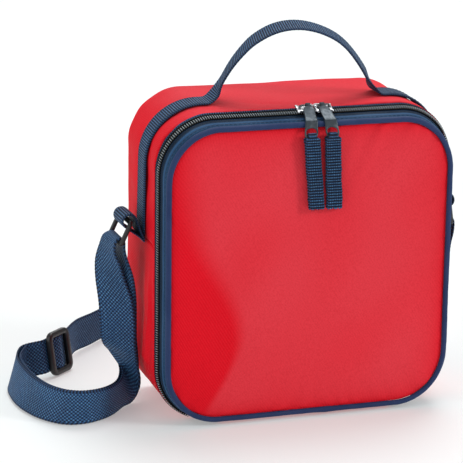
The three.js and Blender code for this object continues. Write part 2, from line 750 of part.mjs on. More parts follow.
function addStrap() {
  const drop = asPairs(STRAP_DROP);
  const loop = asPairs(STRAP_FLOOR_LOOP);
  const glide = glidePairs();
  const back = asPairs(STRAP_BACK_RUN);
  const rise = asPairs(STRAP_RISE);
  const route = [...drop, ...loop, ...glide, ...back, ...rise];
  const dropEnd = drop.length - 0.5;
  const loopEnd = dropEnd + loop.length + 0.1;
  const backStart = dropEnd + loop.length + glide.length;
  const backEnd = backStart + back.length;
  const part = 0.02; // leaves a gap between two stretches of the same strap
  const stretches = {
    strap_drop_left: { from: 0, to: dropEnd },
    strap_floor_loop: { from: dropEnd + part, to: loopEnd, steps: 3 },
    strap_through_glide: { from: loopEnd + 2 * part, to: backStart, steps: 4 },
    strap_back_run: { from: backStart + part, to: backEnd },
    strap_rise_right: { from: backEnd + part, to: route.length - 1 },
  };
  for (const [name, stretch] of Object.entries(stretches)) {
    add(name, webbing(route, stretch), NAVY_WEBBING);
  }

  add("strap_return_drop", webbing(asPairs(RETURN_DROP)), NAVY_WEBBING);
  const inner = beside(loop, -LAYER_SPACING);
  const innerStretch = { from: 2, to: loop.length - 1, steps: 3 };
  add("strap_return_loop", webbing(inner, innerStretch), NAVY_WEBBING);
}

// Tri-glide: a flat frame with a recessed centre bar.
function addGlide() {
  const window = {
    width: GLIDE.length - 2 * GLIDE.bar,
    height: STRAP_WIDTH + 0.8,
  };
  const frame = frameSolid(GLIDE.length, GLIDE.height, window, GLIDE.thickness, 4);
  const half = GLIDE.centreBar / 2;
  const reach = window.height / 2 + 1;
  const back = -GLIDE.thickness / 2;
  const centreBar = box([-half, -reach, back], [half, reach, back + 1.4]);
  const glide = add("tri_glide", join([frame, centreBar]), BLACK_PLASTIC);
  const outward = GLIDE_ALONG.clone().cross(GLIDE_UP);
  const up = outward.clone().cross(GLIDE_ALONG);
  glide.quaternion.setFromRotationMatrix(
    new THREE.Matrix4().makeBasis(GLIDE_ALONG, up, outward),
  );
  glide.position.copy(GLIDE_CENTRE);
}

// ---------------------------------------------------------------- the whole bag

addBody();
addBodyZip();
addFabricHinge();
addDoor();
addDoorZip();
addHandle();
addSlider("left");
addSlider("right");
for (const [name, side] of [["left", -1], ["right", 1]]) {
  addSideTab(name, side);
  addRing(name, side);
}
addStrap();
addGlide();

export default bag;
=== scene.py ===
import math

import bmesh
import bpy
import numpy as np
from mathutils import Matrix, Vector


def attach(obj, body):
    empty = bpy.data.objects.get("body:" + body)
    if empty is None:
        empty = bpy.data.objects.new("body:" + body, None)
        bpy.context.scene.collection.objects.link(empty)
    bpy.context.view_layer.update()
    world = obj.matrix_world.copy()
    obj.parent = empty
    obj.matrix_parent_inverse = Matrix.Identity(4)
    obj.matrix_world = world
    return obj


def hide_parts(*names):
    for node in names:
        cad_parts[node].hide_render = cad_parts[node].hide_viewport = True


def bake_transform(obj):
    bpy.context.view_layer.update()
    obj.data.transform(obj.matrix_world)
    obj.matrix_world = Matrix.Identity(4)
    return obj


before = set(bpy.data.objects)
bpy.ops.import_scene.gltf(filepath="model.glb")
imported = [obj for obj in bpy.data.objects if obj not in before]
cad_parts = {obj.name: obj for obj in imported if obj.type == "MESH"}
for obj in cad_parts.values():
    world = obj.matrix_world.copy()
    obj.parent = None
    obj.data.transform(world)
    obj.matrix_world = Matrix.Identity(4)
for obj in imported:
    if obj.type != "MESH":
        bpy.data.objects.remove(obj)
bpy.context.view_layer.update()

MM = 0.001  # the shapes below are worked out in millimetres, in the part's own frame

# ------------------------------------------------------------------ the case's outline

# y, half width, bottom, top and corner radius of the rounded rectangle at four depths
OUTLINES = np.array([
    [-48.5, 103.1, 3.2, 210.8, 37.8],
    [-38.0, 106.0, 0.9, 214.8, 38.5],
    [-29.5, 107.3, 0.0, 218.6, 39.0],
    [48.5, 105.0, 0.0, 222.0, 38.0],
])
FRONT_Y, GUSSET_Y = -48.5, -29.5
ZIP_Y, ZIP_FIRST, ZIP_LAST = -34.25, 1.27, 7.73
SEAM_Z = 126.0
LEG_LENGTHS = [134, 60, 146, 60, 134, 60, 146, 60]  # bottom, corner, left side, and on round


def outline(y):
    """Half width and lower and upper heights of the corner centres, and the corner radius, at depth y."""
    half, bottom, top, radius = (
        np.interp(y, OUTLINES[:, 0], OUTLINES[:, k]) for k in range(1, 5)
    )
    return half - radius, bottom + radius, top - radius, radius


def corner_angle(place):
    """The direction that the outline faces at a place."""
    leg = np.floor(np.mod(place, 8))
    t = np.mod(place, 8) - leg
    corner = -math.pi / 2 * ((leg - 1) / 2 + 1 + t)
    straight = -math.pi / 2 * (leg / 2 + 1)
    return np.where(leg % 2 == 1, corner, straight)


def rim(y, offset, place):
    """Points at depth y and offset from the outline; place runs from 0 to 8 round it, clockwise
    as seen from the door."""
    y, offset, place = np.broadcast_arrays(
        np.asarray(y, float), np.asarray(offset, float), np.asarray(place, float)
    )
    side, low, high, radius = outline(y)
    r = radius + offset
    leg = np.floor(np.mod(place, 8)).astype(int)
    t = np.mod(place, 8) - leg
    angle = corner_angle(place)
    left = (leg == 1) | (leg == 2) | (leg == 3)
    lower = (leg == 1) | (leg == 7)
    centre_x = np.where(left, -side, side)
    centre_z = np.where(lower, low, high)
    x = centre_x + r * np.cos(angle)
    z = centre_z + r * np.sin(angle)
    x = np.where(leg == 0, side + (-2 * side) * t, x)
    z = np.where(leg == 0, low - r, z)
    x = np.where(leg == 2, -side - r, x)
    z = np.where(leg == 2, low + (high - low) * t, z)
    x = np.where(leg == 4, -side + 2 * side * t, x)
    z = np.where(leg == 4, high + r, z)
    x = np.where(leg == 6, side + r, x)
    z = np.where(leg == 6, high + (low - high) * t, z)
    return np.stack([x, y, z], -1)


def places(step, start=0.0, end=8.0):
    """Places from start to end, about step millimetres apart."""
    found = []
    leg = math.floor(start)
    while leg < end:
        a, b = max(start, leg), min(end, leg + 1)
        n = max(1, round(LEG_LENGTHS[leg % 8] * (b - a) / step))
        found += list(np.linspace(a, b, n + 1)[:-1])
        leg += 1
    return np.array(found + [end])


def place_at_height(side, z):
    """The place at height z on the left (side -1) or right (side 1) of the outline."""
    _, low, high, _ = outline(0.0)
    t = (z - low) / (high - low)
    return 2 + t if side < 0 else 7 - t


def along(points):
    """Distance along a row of points, from its first one."""
    steps = np.linalg.norm(np.diff(points, axis=0), axis=1)
    return np.concatenate([[0], np.cumsum(steps)])


def waves(p, wavelength, seed, count=7):
    """A smooth random field over 2-D points, mostly between -1 and 1."""
    rng = np.random.default_rng(seed)
    total = np.zeros(p.shape[:-1])
    for _ in range(count):
        angle = rng.uniform(0, math.pi)
        k = 2 * math.pi / (wavelength * rng.uniform(0.6, 1.6))
        phase = rng.uniform(0, 2 * math.pi)
        total += np.sin(k * (p[..., 0] * math.cos(angle) + p[..., 1] * math.sin(angle)) + phase)
    return total / math.sqrt(count) / 1.2


def row_waves(length, wavelength, seed):
    """A smooth random line of values, one for each distance."""
    return waves(np.stack([length, length * 0], -1), wavelength, seed)


def bell(value, middle, width):
    """A smooth hump, 1 at the middle."""
    return np.exp(-((value - middle) / width) ** 2)


def smoothstep(x, low, high):
    t = np.clip((x - low) / (high - low), 0, 1)
    return t * t * (3 - 2 * t)


def border_fade(edge, reach):
    """1 at a panel's border, fading over reach; edge runs from 0 in the middle to 1 at the border."""
    return np.exp(-(1 - edge) * 100 / reach)


def from_middle(a, b):
    return np.maximum(np.abs(a), np.abs(b))


def unit(rows):
    return rows / np.linalg.norm(rows, axis=-1)[..., None]


# ------------------------------------------------------------------ meshes


class Shell:
    """Collects closed grids into one mesh, with a UV map in millimetres and an edge attribute."""

    def __init__(self):
        self.points, self.faces, self.uvs, self.edge, self.size = [], [], [], [], 0

    def add(self, points, faces, uvs, edge=None):
        points = np.asarray(points, float).reshape(-1, 3)
        self.points.append(points)
        self.faces.append(np.asarray(faces, int) + self.size)
        self.uvs.append(np.asarray(uvs, float).reshape(-1, 2))
        self.edge.append(np.zeros(len(points)) if edge is None else np.ravel(edge))
        self.size += len(points)
        return self

    def band(self, ring_rows, closed_path=False, u=None, v=None, edge=None):
        """A closed skin through rows of points, each row running once round the section."""
        n, k = ring_rows.shape[:2]
        rows = np.arange(n if closed_path else n - 1)
        i, j = np.meshgrid(rows, np.arange(k), indexing="ij")
        i2, j2 = (i + 1) % n, (j + 1) % k
        quads = np.stack([i * k + j, i2 * k + j, i2 * k + j2, i * k + j2], -1).reshape(-1, 4)
        if u is None:
            u = along(ring_rows.mean(1))
        if v is None:
            v = along(ring_rows[n // 2])
        u = np.append(u, 2 * u[-1] - u[-2])
        v = np.append(v, v[-1] + np.linalg.norm(ring_rows[n // 2][0] - ring_rows[n // 2][-1]))
        uvs = np.stack([
            np.stack([v[j], u[i]], -1), np.stack([v[j], u[i + 1]], -1),
            np.stack([v[j + 1], u[i + 1]], -1), np.stack([v[j + 1], u[i]], -1),
        ], 2).reshape(-1, 2)
        faces, caps = [quads], []
        if not closed_path:
            half = k // 2
            a = np.arange(half - 1)
            first = np.stack([a, a + 1, k - 2 - a, k - 1 - a], -1)
            last = np.stack([a, k - 1 - a, k - 2 - a, a + 1], -1) + (n - 1) * k
            faces += [first, last]
            caps = [np.zeros((4 * len(first), 2)), np.zeros((4 * len(last), 2))]
        self.add(ring_rows, np.concatenate(faces), np.concatenate([uvs, *caps]), edge)
        return self

    def slab(self, outer, inner, closed_path=False, v=None, u=None, edge=None):
        """A closed skin between two grids of points that face each other."""
        rows = np.concatenate([outer, inner[:, ::-1]], 1)
        if v is None:
            v = along(outer[len(outer) // 2])
        both = np.concatenate([v, v[::-1]])
        if edge is not None:
            edge = np.concatenate([edge, edge[:, ::-1]], 1)
        return self.band(rows, closed_path, u, both, edge)

    def object(self, name, look, body=None, replaces=(), slot=None):
        mesh = bpy.data.meshes.new(name)
        points = np.concatenate(self.points) * MM
        faces = np.concatenate(self.faces)
        mesh.from_pydata(points.tolist(), [], faces.tolist())
        layer = mesh.uv_layers.new(name="weave")
        layer.data.foreach_set("uv", np.concatenate(self.uvs).astype(np.float32).ravel())
        edge = mesh.attributes.new("edge", "FLOAT", "POINT")
        edge.data.foreach_set("value", np.concatenate(self.edge).astype(np.float32))
        bm = bmesh.new()
        bm.from_mesh(mesh)
        bmesh.ops.recalc_face_normals(bm, faces=bm.faces)
        bm.to_mesh(mesh)
        bm.free()
        mesh.polygons.foreach_set("use_smooth", [True] * len(mesh.polygons))
        mesh.materials.append(look)
        made = bpy.data.objects.new(name, mesh)
        bpy.context.scene.collection.objects.link(made)
        if body:
            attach(made, body)
        if replaces:
            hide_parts(*replaces)
        return made


def ribbon_rows(left, right, thickness, columns, rib=0.0, rib_pitch=1.8):
    """Outer and inner grids of a band between two edge lines, with soft edges and ribs across it."""
    centre = (left + right) / 2
    across = right - left
    half = np.linalg.norm(across, axis=1) / 2
    across = across / (2 * half[:, None])
    forward = np.gradient(centre, axis=0)
    normal = unit(np.cross(across, forward))
    s = np.sin(np.linspace(-1, 1, columns) * math.pi / 2)
    s = s * 0.55 + np.linspace(-1, 1, columns) * 0.45
    fall = np.where(np.abs(s) > 0.999, 0.45, 1.0)
    length = along(centre)
    ribs = rib * np.cos(2 * math.pi * length / rib_pitch)[:, None] * (1 - 0.5 * s[None] ** 6)
    depth = thickness / 2 * fall[None] + ribs * fall[None]
    base = centre[:, None] + across[:, None] * (half[:, None] * s[None])[..., None]
    outer = base + normal[:, None] * depth[..., None]
    inner = base - normal[:, None] * depth[..., None]
    v = s * half.max()
    edge = np.broadcast_to(np.abs(s)[None], outer.shape[:2])
    return outer, inner, length, v, edge


def ribbon(shell, left, right, thickness, **kw):
    outer, inner, length, v, edge = ribbon_rows(left, right, thickness, **kw)
    return shell.slab(outer, inner, u=length, v=v, edge=edge)


def tube(shell, centre, radius, sides, up=(0, 1, 0)):
    """A round bar along a line; radius may be one number or one for each point."""
    centre = np.asarray(centre, float)
    forward = unit(np.gradient(centre, axis=0))
    side = unit(np.cross(forward, np.asarray(up, float)))
    top = np.cross(side, forward)
    angle = np.linspace(0, 2 * math.pi, sides, endpoint=False)
    r = np.broadcast_to(np.asarray(radius, float), (len(centre),))[:, None, None]
    ring = side[:, None] * np.cos(angle)[None, :, None] + top[:, None] * np.sin(angle)[None, :, None]
    rows = centre[:, None] + r * ring
    return shell.band(rows)


def catmull(points, t):
    """Centripetal Catmull-Rom through rows of points, at places t counted in points."""
    p = np.asarray(points, float)
    p = np.concatenate([[2 * p[0] - p[1]], p, [2 * p[-1] - p[-2]]])
    t = np.clip(np.asarray(t, float), 0, len(p) - 3 - 1e-9)
    i = np.floor(t).astype(int)
    w = (t - i)[:, None]
    a, b, c, d = p[i], p[i + 1], p[i + 2], p[i + 3]
    gap = [np.sqrt(np.linalg.norm(q - r, axis=1))[:, None] for q, r in ((b, a), (c, b), (d, c))]
    mid = np.where(gap[1] < 1e-4, 1.0, gap[1])
    first = np.where(gap[0] < 1e-4, mid, gap[0])
    last = np.where(gap[2] < 1e-4, mid, gap[2])
    out = ((b - a) / first - (c - a) / (first + mid) + (c - b) / mid) * mid
    into = ((c - b) / mid - (d - b) / (mid + last) + (d - c) / last) * mid
    return (
        b + out * w + (-3 * b + 3 * c - 2 * out - into) * w**2
        + (2 * b - 2 * c + out + into) * w**3
    )


def resample(left, right, step):
    """Both edge lines again, at even steps along their middle."""
    length = along((left + right) / 2)
    n = max(2, round(length[-1] / step))
    at = np.linspace(0, length[-1], n + 1)
    spread = lambda line: np.stack([np.interp(at, length, line[:, k]) for k in range(3)], 1)
    return spread(left), spread(right)


def smoothed(line, rounds):
    line = line.copy()
    for _ in range(rounds):
        line[1:-1] = line[1:-1] * 0.5 + (line[:-2] + line[2:]) * 0.25
    return line


# ------------------------------------------------------------------ material nodes


class Look:
    """A material with a Principled shader and short ways to add nodes."""

    def __init__(self, name, **values):
        self.material = bpy.data.materials.new(name)
        self.material.use_nodes = True
        self.tree = self.material.node_tree
        self.tree.nodes.clear()
        self.shader = self.tree.nodes.new("ShaderNodeBsdfPrincipled")
        out = self.tree.nodes.new("ShaderNodeOutputMaterial")
        self.link(self.shader.outputs[0], out.inputs["Surface"])
        for key, value in values.items():
            self.shader.inputs[key.replace("_", " ")].default_value = value

    def link(self, a, b):
        self.tree.links.new(a, b)

    def node(self, kind, inputs=None, **settings):
        made = self.tree.nodes.new("ShaderNode" + kind)
        for key, value in settings.items():
            setattr(made, key, value)
        for key, value in (inputs or {}).items():
            socket = made.inputs[key]
            if isinstance(value, bpy.types.NodeSocket):
                self.link(value, socket)
            else:
                socket.default_value = value
        return made

    def math(self, operation, a, b=0.0, c=None):
        inputs = {0: a, 1: b} if c is None else {0: a, 1: b, 2: c}
        return self.node("Math", inputs, operation=operation).outputs[0]

    def times(self, a, b):
        return self.math("MULTIPLY", a, b)

    def plus(self, a, b):
        return self.math("ADD", a, b)

    def edge(self):
        """The mesh's edge attribute."""
        return self.node("Attribute", attribute_name="edge").outputs["Fac"]

    def uv(self):
        made = self.node("UVMap", uv_map="weave").outputs[0]
        split = self.node("SeparateXYZ", {0: made})
        return split.outputs[0], split.outputs[1]

    def place(self):
        return self.node("TexCoord").outputs["Object"]

    def noise(self, vector, scale, detail=2.0, roughness=0.5):
        made = self.node("TexNoise", {
            "Vector": vector, "Scale": scale, "Detail": detail, "Roughness": roughness,
        })
        return made.outputs["Fac"]

    def sine(self, value, pitch, phase=0.0):
        """Waves of the given pitch, from 0 to 1."""
        turned = self.math("MULTIPLY_ADD", value, 2 * math.pi / pitch, phase)
        return self.math("MULTIPLY_ADD", self.math("SINE", turned), 0.5, 0.5)

    def span(self, value, low, high, to_low=0.0, to_high=1.0):
        return self.node("MapRange", {
            "Value": value, "From Min": low, "From Max": high,
            "To Min": to_low, "To Max": to_high,
        }, interpolation_type="SMOOTHSTEP").outputs[0]

    def mix(self, factor, a, b):
        made = self.node("Mix", data_type="RGBA")
        for socket, value in ((0, factor), (6, a), (7, b)):
            if isinstance(value, bpy.types.NodeSocket):
                self.link(value, made.inputs[socket])
            else:
                made.inputs[socket].default_value = value
        return made.outputs[2]

    def bump(self, height, distance_mm, strength=1.0, normal=None):
        inputs = {"Height": height, "Distance": distance_mm * MM, "Strength": strength}
        if normal is not None:
            inputs["Normal"] = normal
        return self.node("Bump", inputs).outputs[0]

    def surface(self, colour, roughness, normal=None):
        """Plugs the finished sockets into the shader; returns the material."""
        self.link(colour, self.shader.inputs["Base Color"])
        self.link(roughness, self.shader.inputs["Roughness"])
        if normal is not None:
            self.link(normal, self.shader.inputs["Normal"])
        return self.material


def rgb(red, green, blue):
    """A display colour, 0 to 255, as the linear colour that the shader takes."""
    linear = [((c / 255 + 0.055) / 1.055) ** 2.4 if c > 10 else c / 255 / 12.92 for c in (red, green, blue)]
    return (*linear, 1.0)


def red_cloth():
    """Woven polyester with a diagonal twill and a soft sheen, with a painted sheen highlight, paler, where the
    edge attribute says so.
    """
    look = Look("red_cloth", Specular_IOR_Level=0.05, Sheen_Weight=0.02, Sheen_Roughness=0.5)
    look.shader.inputs["Sheen Tint"].default_value = rgb(255, 170, 180)
    u, v = look.uv()
    place = look.place()
    drift = look.times(look.noise(place, 30.0, 2.0), 2.0)
    slant = look.plus(look.plus(u, look.times(v, 1.6)), drift)
    twill = look.sine(slant, 3.325)  # 1.75 mm across the twill, which runs at 1.9 times its slant
    thread = look.times(look.sine(u, 0.8), look.sine(v, 0.8))
    weave = look.plus(look.times(twill, 0.55), look.times(thread, 0.45))
    broad = look.noise(place, 11.0, 3.0)
    fine = look.noise(place, 900.0, 2.0)
    tone = look.mix(look.span(broad, 0.3, 0.72), rgb(216, 5, 24), rgb(224, 9, 30))
    # painted sheen highlight: the edge attribute marks where a paler pink is painted, the door's middle and
    # right and the gusset's top
    pale = look.edge()
    tone = look.mix(look.times(pale, 0.85), tone, rgb(222, 66, 76))
    tone = look.mix(look.times(weave, 0.42), tone, rgb(236, 52, 68))
    tone = look.mix(look.span(fine, 0.35, 0.75, 0.0, 0.2), tone, rgb(180, 2, 16))
    rough = look.span(broad, 0.3, 0.7, 0.6, 0.72)
    creases = look.noise(place, 60.0, 3.0)
    return look.surface(tone, rough, look.bump(weave, 0.14, 0.8, look.bump(creases, 0.35, 0.5)))


def navy_webbing(name, across, row, bright=1.0, depth=0.35, ribbed=False):
    """Polyester webbing: staggered beads, or beaded ribs, across the band, and tighter selvedges, with painted
    shade in the grooves and a painted highlight on the crests.
    """
    look = Look(name, Specular_IOR_Level=0.35, Sheen_Weight=0.05, Sheen_Roughness=0.4)
    look.shader.inputs["Sheen Tint"].default_value = rgb(120, 170, 225)
    u, v = look.uv()
    place = look.place()
    wobble = look.times(look.math("SUBTRACT", look.noise(place, 350.0, 2.0), 0.5), 0.9)
    u = look.plus(u, wobble)
    v = look.plus(v, look.times(wobble, 0.5))
    turn = look.math("COSINE", look.times(u, 2 * math.pi / across))
    step = look.math("COSINE", look.times(v, math.pi / row))
    bead = look.math("MULTIPLY_ADD", look.times(turn, step), 0.5, 0.5)
    if ribbed:
        rib = look.sine(v, row, math.pi / 2)
        bead = look.times(rib, look.math("MULTIPLY_ADD", turn, 0.26, 0.74))
    edge = look.edge()
    selvedge = look.span(edge, 0.84, 0.93)
    cord = look.sine(v, row if ribbed else 2 * row)
    bead = look.plus(look.times(bead, look.math("SUBTRACT", 1.0, selvedge)),
                     look.times(look.math("MULTIPLY_ADD", cord, 0.4, 0.08), selvedge))
    fibre = look.noise(place, 1500.0, 2.0)
    patch = look.noise(place, 25.0, 3.0)
    shade = lambda *c: [k * bright for k in rgb(*c)[:3]] + [1.0]
    # dark, where the beads are low, is painted shade in the grooves; lit, on the bead crests, is a painted
    # highlight
    dark, mid, lit = shade(7, 14, 30), shade(28, 70, 114), shade(108, 172, 216)
    tone = look.mix(look.span(bead, 0.16, 0.5), dark, mid)
    shine = look.times(look.span(bead, 0.6, 1.0), look.span(fibre, 0.35, 0.7, 0.1, 1.0))
    tone = look.mix(shine, tone, lit)
    tone = look.mix(look.span(patch, 0.35, 0.7, 0.0, 0.3), tone, dark)
    height = look.plus(bead, look.times(fibre, 0.2))
    return look.surface(tone, look.span(bead, 0.0, 1.0, 0.85, 0.42), look.bump(height, depth))


def navy_tape(name="navy_tape", dark=1.0, low=(18, 56, 96), high=(62, 142, 190)):
    """Zip tape and bias binding: a close matte twill, with painted shade, near black, where the edge attribute
    marks the furrows.
    """
    look = Look(name, Specular_IOR_Level=0.3, Sheen_Weight=0.15, Sheen_Roughness=0.5)
    look.shader.inputs["Sheen Tint"].default_value = rgb(130, 165, 215)
    u, v = look.uv()
    rib = look.times(look.sine(look.plus(u, v), 0.9), look.sine(v, 0.6))
    place = look.place()
    patch = look.noise(place, 50.0, 3.0)
    low = [c * dark for c in rgb(*low)[:3]] + [1.0]
    high = [c * dark for c in rgb(*high)[:3]] + [1.0]
    tone = look.mix(look.times(rib, 0.55), low, high)
    tone = look.mix(look.span(patch, 0.35, 0.75, 0.0, 0.4), tone, low)
    # painted shade, near black, in the tape's furrows
    tone = look.mix(look.edge(), tone, rgb(5, 9, 18))
    rough = look.span(patch, 0.3, 0.7, 0.6, 0.75)
    normal = look.bump(look.noise(place, 120.0, 2.0), 0.25, 0.5)
    return look.surface(tone, rough, look.bump(rib, 0.08, 0.8, normal))


def moulded_plastic(name, shade, roughness):
    """Satin plastic with a fine grain."""
    look = Look(name, Specular_IOR_Level=0.5)
    place = look.place()
    broad = look.noise(place, 90.0, 3.0)
    grain = look.noise(place, 1500.0, 2.0)
    tone = look.mix(look.span(broad, 0.3, 0.7), rgb(*shade), rgb(*[c * 1.5 + 3 for c in shade]))
    rough = look.span(broad, 0.3, 0.7, roughness - 0.06, roughness + 0.1)
    return look.surface(tone, rough, look.bump(grain, 0.03, 0.5))


def coil_nylon():
    """The zip's coil: glossy turns with a painted highlight, lighter, on their crowns, over a dark core."""
    look = Look("coil_nylon", Specular_IOR_Level=0.2)
    crown = look.edge()
    speck = look.noise(look.place(), 700.0, 2.0)
    # the edge attribute carries a painted highlight on each turn's crown
    tone = look.mix(look.span(crown, 0.3, 1.0), rgb(3, 4, 6), rgb(168, 176, 180))
    tone = look.mix(look.span(speck, 0.4, 0.8, 0.0, 0.4), tone, rgb(20, 24, 32))
    return look.surface(tone, look.span(crown, 0.0, 1.0, 0.8, 0.36), look.bump(speck, 0.03, 0.4))


def metal(name, shade, worn, roughness):
    """Plated zinc, brighter where it is rubbed and dark where the edge attribute says so."""
    look = Look(name, Metallic=0.8, Specular_IOR_Level=0.5)
    place = look.place()
    broad = look.noise(place, 160.0, 2.0)
    scratch = look.noise(place, 700.0, 2.0)
    tone = look.mix(look.span(broad, 0.45, 0.75), rgb(*shade), rgb(*worn))
    tone = look.mix(look.times(look.edge(), 0.85), tone, rgb(40, 44, 48))
    rough = look.span(scratch, 0.3, 0.7, roughness - 0.08, roughness + 0.12)
    return look.surface(tone, rough, look.bump(scratch, 0.012, 0.35))


def silver_film():
    """Metallised lining film, crinkled."""
    look = Look("silver_film", Metallic=0.55, Specular_IOR_Level=0.5)
    place = look.place()
    crinkle = look.node("TexVoronoi", {"Vector": place, "Scale": 160.0}, feature="F2").outputs[0]
    soft = look.noise(place, 45.0, 4.0)
    tone = look.mix(look.span(soft, 0.3, 0.7), rgb(196, 200, 206), rgb(226, 228, 232))
    rough = look.span(soft, 0.3, 0.7, 0.28, 0.45)
    return look.surface(tone, rough, look.bump(crinkle, 0.5, 0.5, look.bump(soft, 1.5, 0.6)))


def floor_paint():
    """A plain pale floor, lifted by a little light of its own."""
    look = Look("floor_paint", Specular_IOR_Level=0.05, Emission_Strength=0.28)
    look.shader.inputs["Emission Color"].default_value = (1, 1, 1, 1)
    patch = look.noise(look.place(), 3.0, 2.0)
    tone = look.mix(patch, (0.61, 0.645, 0.645, 1), (0.63, 0.665, 0.665, 1))
    return look.surface(tone, look.span(patch, 0.3, 0.7, 0.75, 0.85))


RED = red_cloth()
STRAP_WEB = navy_webbing("strap_webbing", 2.6, 1.35, 1.12, 0.4)
HANDLE_WEB = navy_webbing("handle_webbing", 2.2, 1.7, 1.0, 0.4, ribbed=True)
PULLER_WEB = navy_webbing("puller_webbing", 1.7, 2.0, 0.95, 0.5, ribbed=True)
TAPE = navy_tape()
PIPING = navy_tape("navy_piping", 0.95, (18, 36, 76), (64, 98, 160))
BINDING = navy_tape("dark_binding", 0.2)
COIL = coil_nylon()
BLACK = moulded_plastic("black_plastic", (15, 15, 17), 0.34)
SILVER = metal("silver_metal", (222, 224, 228), (244, 245, 247), 0.24)
GUNMETAL = metal("gunmetal", (62, 70, 76), (100, 108, 114), 0.42)
FILM = silver_film()
THREAD = navy_tape("thread", 0.4)

# ------------------------------------------------------------------ case


def cloth_relief(place, y, where):
    """How far the gusset's cloth stands off the outline: puckers at the zip, soft folds elsewhere."""
    angle = corner_angle(place)
    up, out = np.sin(angle), np.cos(angle)
    run = where[..., 0] * 0.7 + where[..., 2] * 1.1
    field = np.stack([run, y], -1)
    from_zip = y - GUSSET_Y
    relief = 0.55 * waves(field, 70, 3) + 0.22 * waves(field, 24, 4)
    relief += 0.3 * waves(np.stack([run * 2.2, y * 0.3], -1), 12, 5) * np.exp(-from_zip / 9)
    z, x = where[..., 2], where[..., 0]
    low_left = np.clip(-out, 0, 1) * np.clip((120 - z) / 70, 0, 1) * (z > 2)
    drape = y + 0.10 * (z - 60)
    relief += low_left * (
        1.5 * bell(drape, -12, 4.0)
        - 1.0 * bell(drape, -20, 4.0)
        + 1.1 * bell(drape, -2, 3.5)
        - 0.7 * bell(drape, 9, 6.0)
    )
    top = np.clip(up, 0, 1) ** 3
    relief += top * (-0.7 * bell(x, 5, 60) * bell(y, 20, 30))
    relief -= top * (0.5 * bell((x + 30) * 0.25 + y, -12, 3.5) * bell(x, -25, 26))
    relief += np.clip(-out, 0, 1) * 0.8 * bell(z, 165, 40) * bell(y, 20, 22)
    underneath = np.clip(-up, 0, 1)
    relief = np.where(underneath > 0.02, np.minimum(relief, 0) * (1 - underneath), relief)
    return relief - 0.15


def gusset(name, start, end, node):
    """One strip of the gusset, turned in along all four of its edges."""
    path = places(2.0, start, end)
    depth = np.concatenate([
        [GUSSET_Y, GUSSET_Y + 0.25, GUSSET_Y + 0.7, GUSSET_Y + 1.4], np.arange(GUSSET_Y + 2.4, 45.2, 1.7),
        [45.9, 46.9, 47.7, 48.2, 48.45],
    ])
    place, y = np.meshgrid(path, depth, indexing="ij")
    base = rim(y, 0, place)
    relief = cloth_relief(place, y, base)
    length = along(rim(np.zeros(len(path)), 0, path))
    from_end = np.minimum(length, length[-1] - length)[:, None]
    relief = relief - 0.75 * np.exp(-from_end / 1.1)
    relief -= 1.0 * np.exp(-(y - GUSSET_Y) / 0.5)
    round_back = np.clip(y - 45.3, 0, None)
    relief -= 3.3 - np.sqrt(np.clip(3.3**2 - round_back**2, 0, None))
    outer = rim(y, relief, place)
    inner = rim(y, np.minimum(relief - 0.8, -0.8), place)
    outer[..., 2] = np.maximum(outer[..., 2], 0.0)
    # painted sheen highlight: the upward-facing top of the gusset is painted paler, where light grazes it
    pale = 0.85 * np.clip(np.sin(corner_angle(place)), 0, 1) ** 3
    shell = Shell().slab(outer, inner, u=length, v=depth - depth[0], edge=pale)
    return shell.object(name, RED, "bag", [node], "red_cloth")


def coons(bottom, top, left, right):
    """A grid of points inside four edge lines that meet at their ends."""
    n, m = len(bottom), len(left)
    a = np.linspace(0, 1, n)[:, None, None]
    b = np.linspace(0, 1, m)[None, :, None]
    return (
        (1 - b) * bottom[:, None] + b * top[:, None] + (1 - a) * left[None] + a * right[None]
        - (1 - a) * (1 - b) * bottom[0] - a * (1 - b) * bottom[-1]
        - (1 - a) * b * top[0] - a * b * top[-1]
    )


EDGE_CROWDING = 1.3  # above 1, a panel's grid is closer near its border


def panel_grid(y, inset, count=110):
    """A grid of points over the rounded rectangle at depth y, finer near its edge."""
    side = lambda a, b: rim(y, -inset, np.interp(edges, ends, dense(a, b)))
    ends = np.linspace(0, 1, 401)
    t = np.linspace(-1, 1, count)
    edges = (np.sign(t) * (1 - (1 - np.abs(t)) ** EDGE_CROWDING) + 1) / 2

    def dense(a, b):
        line = np.linspace(a, b, 401)
        length = along(rim(y, -inset, line))
        return np.interp(ends * length[-1], length, line)

    bottom, right = side(9.5, 7.5), side(7.5, 5.5)
    top, left = side(3.5, 5.5), side(1.5, 3.5)
    grid = coons(bottom, top, left, right)
    s = 2 * edges - 1
    a, b = np.meshgrid(s, s, indexing="ij")
    return grid, a, b


def panel(name, y_out, thickness, inset, relief, look, body, nodes, slot, sign=-1, count=110, painted_sheen=None):
    """A sheet over the rounded rectangle, with relief(grid, a, b) standing out on its outer face."""
    grid, a, b = panel_grid(y_out, inset, count)
    outer = grid.copy()
    outer[..., 1] += sign * relief(grid, a, b)
    inner = grid.copy()
    inner[..., 1] -= sign * thickness
    # an optional mask of painted sheen, carried in the edge attribute
    edge = painted_sheen(grid, a, b) if painted_sheen else None
    shell = Shell().slab(outer, inner, u=grid[:, count // 2, 0], v=grid[count // 2, :, 2], edge=edge)
    return shell.object(name, look, body, nodes, slot)


